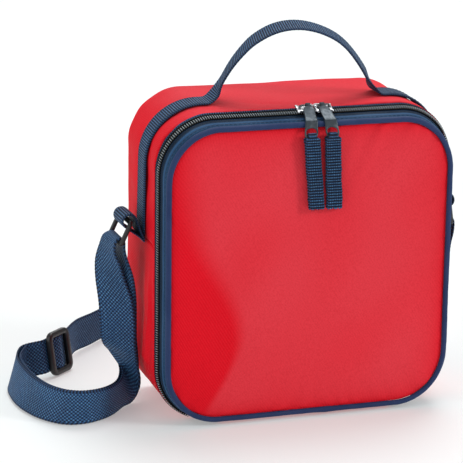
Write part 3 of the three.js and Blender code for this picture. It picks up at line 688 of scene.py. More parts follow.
def door_relief(grid, a, b):
    """The door's face: softly padded, pulled in at the piping, with puckers by the upper right corner."""
    x, z = grid[..., 0], grid[..., 2] - 107
    slope = 1 - np.clip((-0.42 - a - 0.06 * b) / 0.58, 0, 1) ** 1.15
    crown = 2.9 * np.where(a < 0, slope, 1 - np.abs(a) ** 4) * (1 - np.abs(b) ** 3.6)
    edge = from_middle(a, b)
    roll = 0.9 * (1 - border_fade(edge, 3.0))
    flat = np.stack([x, z], -1)
    soft = 0.55 * waves(flat, 90, 11) + 0.18 * waves(flat, 34, 12)
    along_edge = np.arctan2(z, x) * 100
    ring = np.stack([along_edge, np.zeros_like(along_edge)], -1)
    pucker = 0.5 * waves(ring, 9, 13) * border_fade(edge, 7.0)
    pucker += 0.9 * waves(ring, 15, 14) * border_fade(edge, 20.0)
    strength = 0.25 + 0.85 * bell(x, 62, 42) * bell(z, 90, 45)
    strength += 0.5 * bell(x, -80, 40) * bell(z, -80, 40)
    strength += 0.4 * bell(x, 10, 60) * bell(z, -95, 30)
    fade = 1 - border_fade(edge, 1.2)
    return crown + roll + (soft * (1 - edge**4)) + 1.6 * pucker * strength * fade - 0.9


def door_painted_sheen(grid, a, b):
    """Painted sheen on the door's cloth: paler over its middle and right, more sharply bounded low on the left.
    """
    x, z = grid[..., 0], grid[..., 2]
    border = -98 + 44 * bell(z, 62, 62)
    soft = 5 + 0.16 * np.clip(z - 40, 0, 200)
    inside = smoothstep(x, border - soft * 0.4, border + soft)
    rim_fade = 1 - border_fade(from_middle(a, b), 7.0)
    flat = np.stack([x, z], -1)
    return np.clip(inside * rim_fade * (0.9 + 0.12 * waves(flat, 55, 15)), 0, 1)


def build_case():
    left, right = place_at_height(-1, SEAM_Z), place_at_height(1, SEAM_Z)
    gusset("gusset_upper", left + 0.001, right - 0.001, "upper_gusset")
    gusset("gusset_lower", right + 0.001, left + 8 - 0.001, "lower_gusset")

    def back_relief(grid, a, b):
        x, z = grid[..., 0], grid[..., 2]
        flat = np.stack([x, z], -1)
        edge = from_middle(a, b)
        crown = 2.2 * (1 - np.abs(a) ** 3) * (1 - np.abs(b) ** 3)
        return crown + 0.5 * waves(flat, 80, 21) * (1 - edge**4) - 0.35 * border_fade(edge, 2.0)

    panel("back_sheet", 48.1, 0.9, 1.6, back_relief, RED, "bag", ["back_panel"], "red_cloth", sign=1)

    # the lining over the foam: four walls in one band, and the back
    path = places(3.0)[:-1]
    depth = np.linspace(-23.0, 42.6, 34)
    place, y = np.meshgrid(path, depth, indexing="ij")
    base = rim(y, -6.2, place)
    field = np.stack([base[..., 0] + base[..., 2] * 1.3, y], -1)
    crinkle = 0.35 * waves(field, 16, 31) + 0.25 * waves(field, 7, 32)
    inner = rim(y, -6.0 + np.minimum(crinkle, 0.4), place)
    outer = rim(y, -3.6, place)
    walls = Shell().slab(inner, outer, closed_path=True)
    walls.object("liner_walls", FILM, "bag", ["body_lining"], "silver_lining")

    def film_relief(grid, a, b):
        flat = np.stack([grid[..., 0], grid[..., 2]], -1)
        return 0.4 * waves(flat, 18, 33) + 0.3 * waves(flat, 8, 34) + 0.2

    back = panel("liner_back", 42.6, 2.6, 6.3, film_relief, FILM, "bag", ["body_foam"], "silver_lining")

    # binding tape over the raw edges inside the rim
    section = np.array([
        [-23.2, -1.6], [-26.3, -2.0], [-27.0, -3.4], [-26.6, -5.6],
        [-25.2, -6.9], [-23.2, -7.2], [-22.2, -6.4], [-22.0, -3.0],
    ])
    bind_rim("rim_binding", section, "bag", "body_seam_binding", 41)


def bind_rim(name, section, body, node, seed):
    path = places(2.2)[:-1]
    place = np.repeat(path[:, None], len(section), 1)
    length = along(rim(-25.0, -3.0, path))
    pucker = 0.16 * row_waves(length, 5, seed)[:, None]
    y = section[None, :, 0] + 0 * place
    offset = section[None, :, 1] + pucker * (section[None, :, 1] > -4.2)
    rows = rim(y, offset, place)
    return Shell().band(rows, closed_path=True).object(name, BINDING, body, [node], "navy_tape")


# ------------------------------------------------------------------ door


def build_door():
    panel("door_sheet", FRONT_Y, 0.9, 2.6, door_relief, RED, "door", ["door_outer_panel"],
          # the door's painted sheen mask goes into the cloth's edge attribute
          "red_cloth", count=150, painted_sheen=door_painted_sheen)

    def film_relief(grid, a, b):
        flat = np.stack([grid[..., 0], grid[..., 2]], -1)
        edge = from_middle(a, b)
        return (0.8 * (1 - edge**4) + 0.3 * waves(flat, 18, 51) + 0.22 * waves(flat, 8, 52)) - 0.3

    pad = panel("door_liner", -43.7, 3.0, 4.6, film_relief, FILM, "door", ["door_lining", "door_foam"],
                "silver_lining", sign=1)

    # piping: a covered cord, joined at the bottom right of the middle
    path = places(1.6)[:-1]
    length = along(rim(FRONT_Y, 0, path))
    wobble = 0.07 * row_waves(length, 9, 61) + 0.10 * row_waves(length, 45, 62)
    centre = rim(FRONT_Y + 0.1, -0.85 + wobble, path)
    joint = bell(centre[:, 0], 14, 5.0) * (centre[:, 2] < 20)
    angle = np.linspace(0, 2 * math.pi, 14, endpoint=False)
    radius = 1.9 + 0.06 * wobble + 0.28 * joint
    y = FRONT_Y + 0.1 + radius[:, None] * np.cos(angle)[None]
    offset = (-0.85 + wobble)[:, None] + radius[:, None] * np.sin(angle)[None]
    rows = rim(y, offset, np.repeat(path[:, None], 14, 1))
    rows[..., 2] = np.maximum(rows[..., 2], 0.02)
    Shell().band(rows, closed_path=True).object("piping_cord", PIPING, "door", ["door_piping"], "navy_tape")

    section = np.array([
        [-43.1, -3.6], [-43.2, -2.2], [-41.4, -1.9], [-40.0, -2.2],
        [-39.8, -3.2], [-40.4, -4.4], [-42.6, -4.6],
    ])
    bind_rim("door_binding", section, "door", "door_seam_binding", 42)

    # the cloth that joins door and body along the bottom, between the ends of the zip
    x = np.linspace(-64, 64, 90)
    depth = np.array([-47.0, -45.5, -43.5, -41.0, -38.5, -36.0, -33.5, -31.5, -29.6])
    gx, gy = np.meshgrid(x, depth, indexing="ij")
    _, low, _, radius = outline(gy)
    relief = 0.25 * waves(np.stack([gx, gy], -1), 22, 71) - 0.2
    bottom = low - radius
    lift = np.where(gy < -45, (-45 - gy) * 0.35, 0)
    outer = np.stack([gx, gy, np.maximum(bottom - relief * 0.5 + lift, 0.05)], -1)
    inner = outer + np.array([0, 0, 0.9])
    hinge = Shell().slab(outer, inner).object("hinge_cloth", RED, None, ["fabric_hinge"], "red_cloth")
    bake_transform(hinge)


# ------------------------------------------------------------------ zip


def zip_tape(name, section, body, node, seed):
    """A tape along the outline; section is its outer profile of (y, offset)."""
    path = places(1.8, ZIP_FIRST - 0.02, ZIP_LAST + 0.02)
    length = along(rim(ZIP_Y, 0, path))
    y = np.array([p[0] for p in section])[None] + 0 * path[:, None]
    ripple = 0.10 * row_waves(length, 14, seed)[:, None]
    offset = np.array([p[1] for p in section])[None] + ripple
    place = np.repeat(path[:, None], len(section), 1)
    outer, inner = rim(y, offset, place), rim(y, offset - 0.55, place)
    depth = np.array([p[0] for p in section])
    # where painted shade goes: the furrows beside the piping, by the stitch line and beside the coil
    furrow = bell(y, -46.2, 1.4) + bell(y, -38.4, 1.5) + 0.6 * bell(y, -43.2, 0.35)
    shell = Shell().slab(outer, inner, u=length, v=depth, edge=np.clip(furrow, 0, 1))
    return shell.object(name, TAPE, body, [node], "navy_tape")


def coil_half(name, side, body, node):
    """Half of the zip's coil: a core strip with one raised turn for each tooth."""
    pitch = 1.7
    total = along(rim(ZIP_Y, 0, places(1.0, ZIP_FIRST, ZIP_LAST)))[-1]
    fine = places(0.5, ZIP_FIRST, ZIP_LAST)
    run = along(rim(ZIP_Y, 0, fine))
    shift = 0.25 if side < 0 else 0.75
    at = (np.arange(int(total / pitch) - 1) + shift) * pitch
    # one turn, as (distance from the middle of the zip, height over the outline)
    turn = np.array([[3.15, -0.95], [3.3, -0.35], [3.05, 0.2], [2.2, 0.55], [1.2, 0.6],
                     [0.4, 0.45], [-0.15, 0.1], [-0.3, -0.4], [0.0, -0.85]])
    lean = np.array([0.32, 0.3, 0.25, 0.15, 0.0, -0.1, -0.15, -0.1, 0.0])
    shell = Shell()
    points = []
    for k in range(len(turn)):
        p = np.interp(at + lean[k], run, fine)
        points.append(rim(ZIP_Y + side * turn[k, 0], turn[k, 1], p))
    spine = np.stack(points, 1)
    forward = unit(np.gradient(spine, axis=1))
    ahead, behind = (rim(ZIP_Y, 0, np.interp(at + step, run, fine)) for step in (0.3, -0.3))
    tangent = unit(ahead - behind)
    other = unit(np.cross(forward, tangent[:, None]))
    sides = 6
    angle = np.linspace(0, 2 * math.pi, sides, endpoint=False)
    thick = np.array([0.22, 0.24, 0.26, 0.27, 0.27, 0.28, 0.28, 0.26, 0.22])[None, :, None, None]
    rows = spine[:, :, None] + thick * (
        tangent[:, None, None] * np.cos(angle)[None, None, :, None]
        + other[:, :, None] * np.sin(angle)[None, None, :, None]
    )
    # painted highlight on each turn's crown, weaker on the body half, passed on as the edge attribute
    crown = np.clip((turn[:, 1] + 0.1) / 0.6, 0, 1) * (1.0 if side < 0 else 0.35)
    painted_crown_highlight = np.broadcast_to(crown[:, None], (len(turn), sides))
    for one in rows:
        shell.band(one, edge=painted_crown_highlight)
    core_path = places(2.0, ZIP_FIRST, ZIP_LAST)
    section = np.array([[2.6, -1.0], [2.6, -0.5], [1.9, -0.35], [1.1, -0.35], [0.7, -0.5], [0.7, -1.0]])
    place = np.repeat(core_path[:, None], len(section), 1)
    core = rim(ZIP_Y + side * section[None, :, 0] + 0 * place, section[None, :, 1] + 0 * place, place)
    shell.band(core)
    return shell.object(name, COIL, body, [node], "black_coil")


def stitch_line(shell, points, normal, pitch, length, radius):
    """Short raised stitches along a line of points."""
    run = along(points)
    starts = np.arange(0.4, run[-1] - length, pitch)
    for start in starts:
        at = start + np.linspace(0, length, 5)
        p = np.stack([np.interp(at, run, points[:, k]) for k in range(3)], 1)
        n = np.stack([np.interp(at, run, normal[:, k]) for k in range(3)], 1)
        arch = np.array([-0.12, 0.05, 0.1, 0.05, -0.12])
        up = n[2]
        tube(shell, p + n * arch[:, None], radius, sides=5, up=up)


def build_zip():
    door = [
        (-46.9, -2.9), (-46.0, -2.8), (-45.3, -1.6), (-44.6, -0.8), (-43.9, -0.55),
        (-43.2, -0.75), (-42.5, -0.45), (-41.7, -0.55), (-40.6, -0.95), (-39.9, -1.4),
        (-39.2, -1.2), (-38.0, -1.2), (-36.4, -1.25), (-35.0, -1.25),
    ]
    zip_tape("door_tape", door, "door", "door_zip_tape", 81)
    body = [
        (-33.5, -1.25), (-32.2, -1.2), (-31.0, -1.05), (-30.0, -0.8),
        (-29.3, -0.95), (-28.2, -1.3), (-27.0, -1.3),
    ]
    zip_tape("body_tape", body, "bag", "body_zip_tape", 82)
    coil_half("door_coil", -1, "door", "door_zip_coil")
    coil_half("body_coil", 1, "bag", "body_zip_coil")
    # the row of stitches that holds the tape to the door
    path = places(1.0, ZIP_FIRST, ZIP_LAST)
    line = rim(-43.9, -0.55, path)
    angle = corner_angle(path)
    normal = np.stack([np.cos(angle), np.zeros(len(path)), np.sin(angle)], 1)
    shell = Shell()
    stitch_line(shell, line, normal, pitch=3.2, length=2.3, radius=0.17)
    line = rim(-39.0, -1.1, path)
    stitch_line(shell, line, normal, pitch=3.2, length=2.3, radius=0.14)
    shell.object("tape_stitches", THREAD, "door", (), "navy_tape")


# ------------------------------------------------------------------ sliders and pulls

SLIDER_X = {"left": -1.4, "right": 12.0}
# how far the tab's eye, its window and the puller's cut end lie to the right of the slider's middle
TAB_SLANT = {"left": (1.8, -2.0, 2.6), "right": (-1.2, -0.2, 2.2)}
EYE_HEIGHT = 4.0
TOP_RISE, TOP_RUN = 218.6 - 214.8, 8.5  # the outline's climb from y = -38 to y = -29.5
WINDOW_DOWN, WINDOW_WIDE, WINDOW_TALL = 25.3, 3.8, 2.7  # distance from the eye, and half sizes
TAB_UPPER, TAB_LOWER = 18.0, 11.3
UPPER_DROP, LOWER_DROP = math.radians(26), math.radians(66)


class Pulls:
    """One slider with its pull tab and webbing puller, in the slider's own leaning frame."""

    def __init__(self, side):
        self.side = side
        self.x = SLIDER_X[side]
        _, _, high, radius = outline(ZIP_Y)
        self.z = float(high + radius)
        self.slope = TOP_RISE / TOP_RUN
        self.eye = np.array([self.x, ZIP_Y, self.z + EYE_HEIGHT])

    def lean(self, points):
        points = np.asarray(points, float)
        out = points + np.array([self.x, ZIP_Y, self.z])
        out[..., 2] += points[..., 1] * self.slope
        return out

    def body(self):
        """The slider: a flared tail on its outer side, shoulders towards its neighbour, and a bridge."""
        outer = -1 if self.side == "left" else 1
        shell = Shell()
        half = [(x * outer, w) for x, w in (
            (-6.2, 2.6), (-5.9, 3.6), (-5.0, 4.3), (-3.6, 4.45), (-2.0, 4.2), (-0.2, 3.5),
            (1.6, 2.9), (3.2, 2.75), (4.6, 3.1), (5.7, 3.7), (6.2, 3.4),
        )]
        ring = np.array(half + [(x, -w) for x, w in reversed(half)])
        plate_rows(shell, ring, 1.05, 1.95, self.lean)
        plate_rows(shell, ring * [1, 0.9], -3.1, -2.35, self.lean, cut=0.3)
        # the folded rims along both edges of the top plate
        for wide in (1, -1):
            line = np.array([(x, wide * (w - 0.25), 1.55) for x, w in half])
            line = catmull(line, np.linspace(0, len(half) - 1, 40))
            tube(shell, self.lean(line), 0.62, 8)
        post = np.array([(x * outer, y) for x, y in ((3.6, -0.28), (1.2, -0.28), (1.2, 0.28), (3.6, 0.28))])
        plate_rows(shell, post, -2.6, 1.4, self.lean)
        # the bridge that carries the pull: two broad legs and a round bar
        arch = np.array([[-4.3, 1.6], [-4.0, 3.1], [-3.1, 4.0], [-1.8, 4.15], [0, 4.2], [1.8, 4.15], [3.1, 4.0],
                         [4.0, 3.1], [4.3, 1.6]])
        line = catmull(np.column_stack([arch[:, 0], 0 * arch[:, 0], arch[:, 1]]), np.linspace(0, 8, 41))
        radius = 0.6 + 0.35 * np.clip((np.abs(line[:, 0]) - 3.2) / 0.8, 0, 1)
        tube(shell, self.lean(line), radius, 10)
        shell.edge[-1] = shell.edge[-1] + 1.0
        name = "slider_%s_body" % self.side
        return shell.object(name, SILVER, "slider_" + self.side[0], ["slider_" + self.side], "silver_metal")

    def tab(self):
        """The metal tab: an eye, a neck, a waisted blade bent over the piping, and an oval window."""
        shell = Shell()
        total = TAB_UPPER + TAB_LOWER
        rows, columns = 76, 23
        length = np.linspace(1.2, total, rows)
        drop = UPPER_DROP + (LOWER_DROP - UPPER_DROP) * smoothstep(length, TAB_UPPER - 1.6, TAB_UPPER + 1.6)
        step = np.gradient(length)
        y = -np.cumsum(np.cos(drop) * step)
        z = -np.cumsum(np.sin(drop) * step)
        y += -1.2 * math.cos(UPPER_DROP) - y[0]
        z += -1.2 * math.sin(UPPER_DROP) - z[0]
        half = np.interp(length, [1.2, 2.2, 3.2, 4.2, 15, 21, 26.0, 27.9, 28.9, 29.3],
                         [1.6, 1.9, 3.5, 4.0, 4.15, 4.55, 4.8, 4.55, 3.9, 3.0])
        s = np.linspace(-1, 1, columns)
        gx = half[:, None] * s[None]
        gl = np.repeat(length[:, None], columns, 1)
        # the window: an oval hole whose rim the grid is drawn onto
        away = np.sqrt((gx / WINDOW_WIDE) ** 2 + ((gl - WINDOW_DOWN) / WINDOW_TALL) ** 2)
        hole = away < 1.0
        open_cell = (hole[:-1, :-1] | hole[1:, :-1] | hole[:-1, 1:] | hole[1:, 1:])
        touched = np.zeros_like(hole)
        for di in (0, 1):
            for dj in (0, 1):
                touched[di:rows - 1 + di, dj:columns - 1 + dj] |= open_cell
        rimmed = touched & ~hole
        gx = np.where(rimmed, gx / away, gx)
        gl = np.where(rimmed, WINDOW_DOWN + (gl - WINDOW_DOWN) / away, gl)
        py, pz, pd = (np.interp(gl, length, q) for q in (y, z, drop))
        eye_shift, window_shift, _ = TAB_SLANT[self.side]
        slant = eye_shift + (window_shift - eye_shift) * np.clip(gl / WINDOW_DOWN, 0, 1.1)
        centre = np.stack([self.eye[0] + slant + gx, self.eye[1] + py, self.eye[2] + pz], -1)
        normal = np.stack([0 * gx, -np.sin(pd), np.cos(pd)], -1)
        rim_soft = np.where((np.abs(s)[None] > 0.99) | rimmed, 0.62, 1.0)[..., None]
        top = centre + normal * 0.55 * rim_soft
        low = centre - normal * 0.55 * rim_soft
        index = np.arange(rows * columns).reshape(rows, columns)
        cells = [(i, j) for i in range(rows - 1) for j in range(columns - 1) if not open_cell[i, j]]
        used = np.zeros(rows * columns, bool)
        faces = []
        for i, j in cells:
            a, b, c, d = index[i, j], index[i + 1, j], index[i + 1, j + 1], index[i, j + 1]
            faces.append((a, b, c, d))
            used[[a, b, c, d]] = True
        count = rows * columns
        borders = dict.fromkeys(e for a, b, c, d in faces for e in ((a, b), (b, c), (c, d), (d, a)))
        rim_edges = [e for e in borders if (e[1], e[0]) not in borders]
        all_faces = faces + [tuple(count + k for k in reversed(f)) for f in faces]
        all_faces += [(b, a, count + a, count + b) for a, b in rim_edges]
        keep = np.concatenate([used, used])
        renumber = np.cumsum(keep) - 1
        points = np.concatenate([top.reshape(-1, 3), low.reshape(-1, 3)])[keep]
        quads = renumber[np.array(all_faces)]
        shell.add(points, quads, points[quads.ravel()][:, :2])
        # the eye round the bridge
        turn = np.linspace(0, 2 * math.pi, 20, endpoint=False)
        rows_eye = []
        for angle in turn:
            out = np.array([0, math.cos(angle), math.sin(angle)])
            section = [(-1.5, 0.95), (-1.5, 1.45), (-1.2, 1.6), (1.2, 1.6), (1.5, 1.45), (1.5, 0.95)]
            rows_eye.append([self.eye + np.array([x + eye_shift, 0, 0]) + out * r for x, r in section])
        shell.band(np.array(rows_eye), closed_path=True)
        name = "tab_%s_metal" % self.side
        return shell.object(name, GUNMETAL, "tab_" + self.side[0], ["pull_tab_" + self.side], "dark_metal")

    def puller(self):
        """Webbing folded through the window and sewn to itself, its cut end a little ragged."""
        far = TAB_LOWER - 0.8
        cross = self.eye + np.array([
            0,
            -TAB_UPPER * math.cos(UPPER_DROP) - far * math.cos(LOWER_DROP),
            -TAB_UPPER * math.sin(UPPER_DROP) - far * math.sin(LOWER_DROP),
        ])
        drop = 50.8  # from the window down to the free ends
        r = 1.75  # of the fold over the tab's bar
        down = np.linspace(0, drop, 260)
        apart = np.interp(down, [0, 2, 5, drop], [r, r, 0.66, 0.66])
        arc_angle = np.linspace(math.pi, 0, 16)[1:-1]
        line = np.concatenate([
            np.column_stack([-apart, -down])[::-1],
            np.column_stack([r * np.cos(arc_angle), r * np.sin(arc_angle)]),
            np.column_stack([apart, -down]),
        ])
        away = np.concatenate([down[::-1], 0 * arc_angle, down])
        back = np.arange(len(away)) > len(down) + 7
        half = np.interp(away, [0, 0.7, 1.5, 3.5, drop], [2.85, 4.4, 5.4, 5.55, 5.65])
        seed = 91 if self.side == "left" else 92
        _, top_shift, end_shift = TAB_SLANT[self.side]
        wander = 0.3 * waves(np.column_stack([away, 0 * away]), 26, seed) * np.clip(away / 15, 0, 1)
        lean = top_shift + (end_shift - top_shift) * away / drop
        centre = np.column_stack([
            cross[0] + lean + wander, cross[1] + line[:, 0], cross[2] + line[:, 1],
        ])
        flare = 0.16 * waves(np.column_stack([away * 2, 40.0 * back]), 5, seed + 5)
        knots = 0.13 * np.cos(2 * math.pi * away / 2.0)
        left = centre - np.column_stack([half + flare + knots, 0 * half, 0 * half])
        right = centre + np.column_stack([half - flare + knots, 0 * half, 0 * half])
        shell = Shell()
        outer, inner, length, v, edge = ribbon_rows(left, right, 1.05, columns=13, rib=0.24, rib_pitch=2.0)
        # a sewn furrow down the middle, and a ragged cut
        furrow = np.exp(-((v / 0.55) ** 2))[None] * 0.22 * np.clip((away - 4) / 4, 0, 1)[:, None]
        outer[..., 1] += np.where(back, -1, 1)[:, None] * furrow * 0.9
        rng = np.random.default_rng(seed)
        for end in (0, -1):
            ragged = rng.uniform(-0.7, 0.5, outer.shape[1])
            outer[end, :, 2] += ragged
            inner[end, :, 2] += ragged
        shell.slab(outer, inner, u=length, v=v, edge=edge)
        for end in (0, -1):
            for _ in range(16):
                at = rng.uniform(0.05, 0.95)
                foot = outer[end, 0] * (1 - at) + outer[end, -1] * at + [0, 0.3 if end == 0 else -0.3, 0.5]
                tip = foot + [rng.normal(0, 0.35), rng.normal(0, 0.2), -rng.uniform(0.9, 1.9)]
                tube(shell, np.linspace(foot, tip, 4), np.array([0.16, 0.15, 0.12, 0.07]), 5, up=(0.3, 1, 0))
        name = "puller_%s_web" % self.side
        nodes = ["webbing_puller_" + self.side]
        return shell.object(name, PULLER_WEB, "puller_" + self.side[0], nodes, "navy_webbing")


def plate_rows(shell, ring, low, high, place, cut=None):
    """A flat plate with softened rims through a symmetric ring of (x, y) points."""
    ring = np.asarray(ring, float)
    if cut is not None:
        ring = np.column_stack([ring[:, 0], np.minimum(ring[:, 1], cut)])
    half = len(ring) // 2
    upper, lower = ring[:half], ring[half:][::-1]
    columns = 7
    t = np.linspace(0, 1, columns)
    soft = np.array([0.35, 0.85, 1, 1, 1, 0.85, 0.35])
    flat = upper[:, None] * (1 - t)[None, :, None] + lower[:, None] * t[None, :, None]
    ends = np.ones(half)
    ends[[0, -1]] = 0.5
    middle, thick = (low + high) / 2, (high - low) / 2
    swell = thick * soft[None] * ends[:, None]
    top = np.concatenate([flat, (middle + swell)[..., None]], -1)
    bottom = np.concatenate([flat, (middle - swell)[..., None]], -1)
    shell.slab(place(top), place(bottom))


# ------------------------------------------------------------------ handle


HANDLE_Y, HANDLE_FOOT_Z = -4.5, 226


def build_handle():
    """One length of webbing: up the left side, over the top, through the loop and down the right."""
    left_side, right_side = place_at_height(-1, SEAM_Z + 1.6), place_at_height(1, SEAM_Z + 1.6)
    half, lift = 10.0, 1.15
    side, _, _, _ = outline(HANDLE_Y)
    foot = (float(side) - 62.5) / (2 * float(side))

    def run(seam, top):
        path = places(1.0, min(seam, top), max(seam, top))
        path = path if seam < top else path[::-1]
        share = np.linspace(0, 1, len(path))
        y = 3.2 - 7.7 * share
        return rim(y - half, lift, path), rim(y + half, lift, path)

    front_l, back_l = run(left_side, 4 + foot)
    front_r, back_r = run(right_side, 5 - foot)
    loop = np.array([
        [-59.4, -2.9], [-56.7, 0.2], [-54.6, 4.4], [-51.0, 12.0], [-45.9, 20.9], [-39.5, 29.3], [-31.7, 37.1],
        [-17.3, 44.8], [-2.7, 47.0], [12.0, 44.6], [27.0, 38.1], [36.0, 31.4], [44.0, 22.6], [51.6, 12.2],
        [56.2, 4.4], [58.2, 0.2], [60.6, -2.9],
    ])
    loop = np.column_stack([loop[:, 0], 0 * loop[:, 0], loop[:, 1]])
    line = catmull(loop, np.linspace(0, len(loop) - 1, 240))
    lean = math.radians(9)
    y = HANDLE_Y - line[:, 2] * math.sin(lean)
    z = HANDLE_FOOT_Z + line[:, 2] * math.cos(lean)
    rise = np.clip((line[:, 2] + 1) / 9, 0, 1)
    tilt = np.clip((line[:, 2] + 3) / 10, 0, 1) * lean
    turn = math.radians(18) * rise * (1 - 0.55 * np.clip(line[:, 2] / 47, 0, 1) ** 2)
    across = np.column_stack([np.sin(turn), np.cos(turn) * np.cos(tilt), np.sin(tilt)]) * half
    middle = np.column_stack([line[:, 0], y, z])
    front, back = middle - across, middle + across
    front = np.concatenate([front_l, front, front_r[::-1]])
    back = np.concatenate([back_l, back, back_r[::-1]])
    front, back = resample(front, back, 1.0)
    front, back = smoothed(front, 5), smoothed(back, 5)
    front, back = resample(front, back, 0.75)
    shell = Shell()
    ribbon(shell, front, back, 1.5, columns=13, rib=0.07, rib_pitch=3.0)
    web = shell.object("handle_strap", HANDLE_WEB, None,
                       ["handle_run_left", "handle_run_right", "handle_loop"], "navy_webbing")
    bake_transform(web)

    threads = Shell()
    for front_edge, back_edge in ((front_l, back_l), (front_r, back_r)):
        for share in (0.11, 0.89):
            line = front_edge * (1 - share) + back_edge * share
            up = np.gradient(line, axis=0)
            across = back_edge - front_edge
            normal = unit(np.cross(up, across))
            inside = np.array([0, 0, 110.0])
            normal *= np.sign(((line - inside) * normal).sum(1))[:, None]
            line = line + normal * 0.8
            line, normal = line[3:-4], normal[3:-4]
            stitch_line(threads, line, normal, pitch=3.0, length=2.2, radius=0.15)
    threads.object("handle_stitches", THREAD, "bag", (), "navy_webbing")


# ------------------------------------------------------------------ rings, tabs and strap

STRAP_Y, STRAP_WIDTH, WEBBING = 3.5, 25.0, 1.4
RING = {"x": 118.5, "z": 139.3, "width": 33.0, "height": 20.0, "bar": 3.6}
RING_REACH = RING["height"] - RING["bar"]
RING_HANG = {"left": math.radians(25), "right": math.radians(8)}
GLIDE_CENTRE = np.array([-144.5, 94.0, 16.2])
GLIDE_ALONG = np.array([0.73, 0.68, 0.0]) / math.hypot(0.73, 0.68)
GLIDE_UP = np.array([-0.08, 0.14, 0.98]) / math.sqrt(0.08**2 + 0.14**2 + 0.98**2)
LAYER_SPACING = 2.2

# The strap's route: [left or top edge, right or bottom edge], the same points as the part's.
STRAP_DROP = [
    [[-135.8, 13.5, 111.5], [-123.6, -8.0, 111.5]],
    [[-137.2, 14.5, 96.0], [-120.0, -3.5, 95.0]],
    [[-136.6, 9.0, 80.0], [-114.8, -3.5, 80.0]],
    [[-135.9, 7.0, 64.0], [-112.6, -2.0, 64.0]],
    [[-133.2, 12.0, 48.5], [-112.0, -1.0, 46.0]],
    [[-124.4, 20.5, 37.0], [-110.3, 0.6, 33.7]],
    [[-119.2, 20.5, 30.5], [-107.8, 7.5, 20.0]],
]
STRAP_FLOOR_LOOP = [
    [[-118.0, 15.5, 27.0], [-107.8, 12.5, 7.0]],
    [[-120.0, 6.0, 25.2], [-112.0, 10.0, 1.0]],
    [[-125.8, -6.0, 24.2], [-119.0, 4.0, 0.7]],
    [[-140.0, -20.5, 24.6], [-135.0, -13.5, 0.6]],
    [[-155.5, -25.5, 25.2], [-153.0, -22.0, 0.5]],
    [[-166.0, -21.5, 25.3], [-168.0, -20.0, 0.5]],
    [[-175.5, -7.0, 25.0], [-181.0, -6.0, 0.6]],
    [[-180.5, 16.0, 24.6], [-190.0, 17.0, 0.6]],
    [[-182.8, 44.0, 24.6], [-192.0, 43.5, 0.6]],
    [[-181.0, 70.0, 25.0], [-188.0, 68.5, 0.6]],
    [[-172.5, 88.5, 25.6], [-175.0, 82.0, 1.2]],
]
STRAP_BACK_RUN = [
    [[-119.5, 137.5, 26.2], [-122.5, 134.0, 1.6]],
    [[-104.5, 153.0, 25.4], [-107.5, 149.5, 0.6]],
    [[-89.0, 167.0, 25.5], [-91.5, 166.0, 0.5]],
    [[-66.0, 182.5, 25.5], [-66.5, 184.0, 0.5]],
    [[-36.0, 192.0, 25.5], [-36.0, 194.0, 0.5]],
    [[-2.0, 192.0, 25.5], [-1.0, 194.0, 0.5]],
    [[33.0, 179.0, 25.5], [34.5, 180.5, 0.5]],
    [[64.0, 152.0, 25.5], [66.0, 153.0, 0.5]],
    [[88.0, 117.0, 25.6], [90.0, 118.0, 0.6]],
    [[104.5, 83.5, 27.5], [105.5, 79.5, 2.8]],
    [[113.3, 57.5, 39.0], [112.5, 46.5, 16.5]],
]
STRAP_RISE = [
    [[115.5, 38.5, 56.0], [114.3, 21.5, 38.0]],
    [[117.0, 24.0, 79.0], [116.0, 2.0, 68.0]],
    [[117.2, 17.0, 97.0], [116.8, -7.8, 92.5]],
    [[117.2, 16.0, 112.6], [117.2, -9.0, 112.6]],
]
RETURN_DROP = [
    [[-124.5, 15.0, 111.5], [-116.6, -8.8, 111.5]],
    [[-130.3, 14.5, 95.0], [-114.0, -4.0, 94.0]],
    [[-133.0, 11.8, 79.0], [-111.5, -1.0, 79.0]],
    [[-134.0, 9.6, 63.0], [-111.0, 0.8, 63.0]],
    [[-132.0, 13.8, 51.0], [-110.5, 1.2, 49.0]],
]


def along_y(points):
    """Pairs for a band that keeps its width along Y and follows (x, z) points."""
    half = STRAP_WIDTH / 2
    return [[[x, STRAP_Y + half, z], [x, STRAP_Y - half, z]] for x, z in points]


def arc(x, z, radius, start, end, count):
    angles = np.radians(np.linspace(start, end, count + 1))
    return [(x + radius * math.cos(a), z + radius * math.sin(a)) for a in angles]


def glide_pairs():
    """Behind the glide's outer bars and in front of its centre bar."""
    outward = np.cross(GLIDE_ALONG, GLIDE_UP)
    half = GLIDE_UP * STRAP_WIDTH / 2
    behind, infront, between = -2.7, 1.5, -0.7
    steps = [(-15.5, behind), (-10, behind), (-5.6, between), (-1.6, infront),
             (1.6, infront), (5.6, between), (10, behind), (15.5, behind)]
    found = []
    for distance, out in steps:
        centre = GLIDE_CENTRE + GLIDE_ALONG * distance + outward * out
        found.append([list(centre + half), list(centre - half)])
    return found


def beside(pairs, spacing):
    """The same band moved level to one side."""
    edges = np.array(pairs, float)
    middle = edges.mean(1)
    t = np.linspace(0, len(pairs) - 1, len(pairs))
    forward = catmull(middle, t + 0.02) - catmull(middle, t - 0.02)
    normal = np.cross(edges[:, 0] - edges[:, 1], forward)
    normal[:, 2] = 0
    normal *= spacing / np.linalg.norm(normal, axis=1)[:, None]
    return (edges + normal[:, None]).tolist()


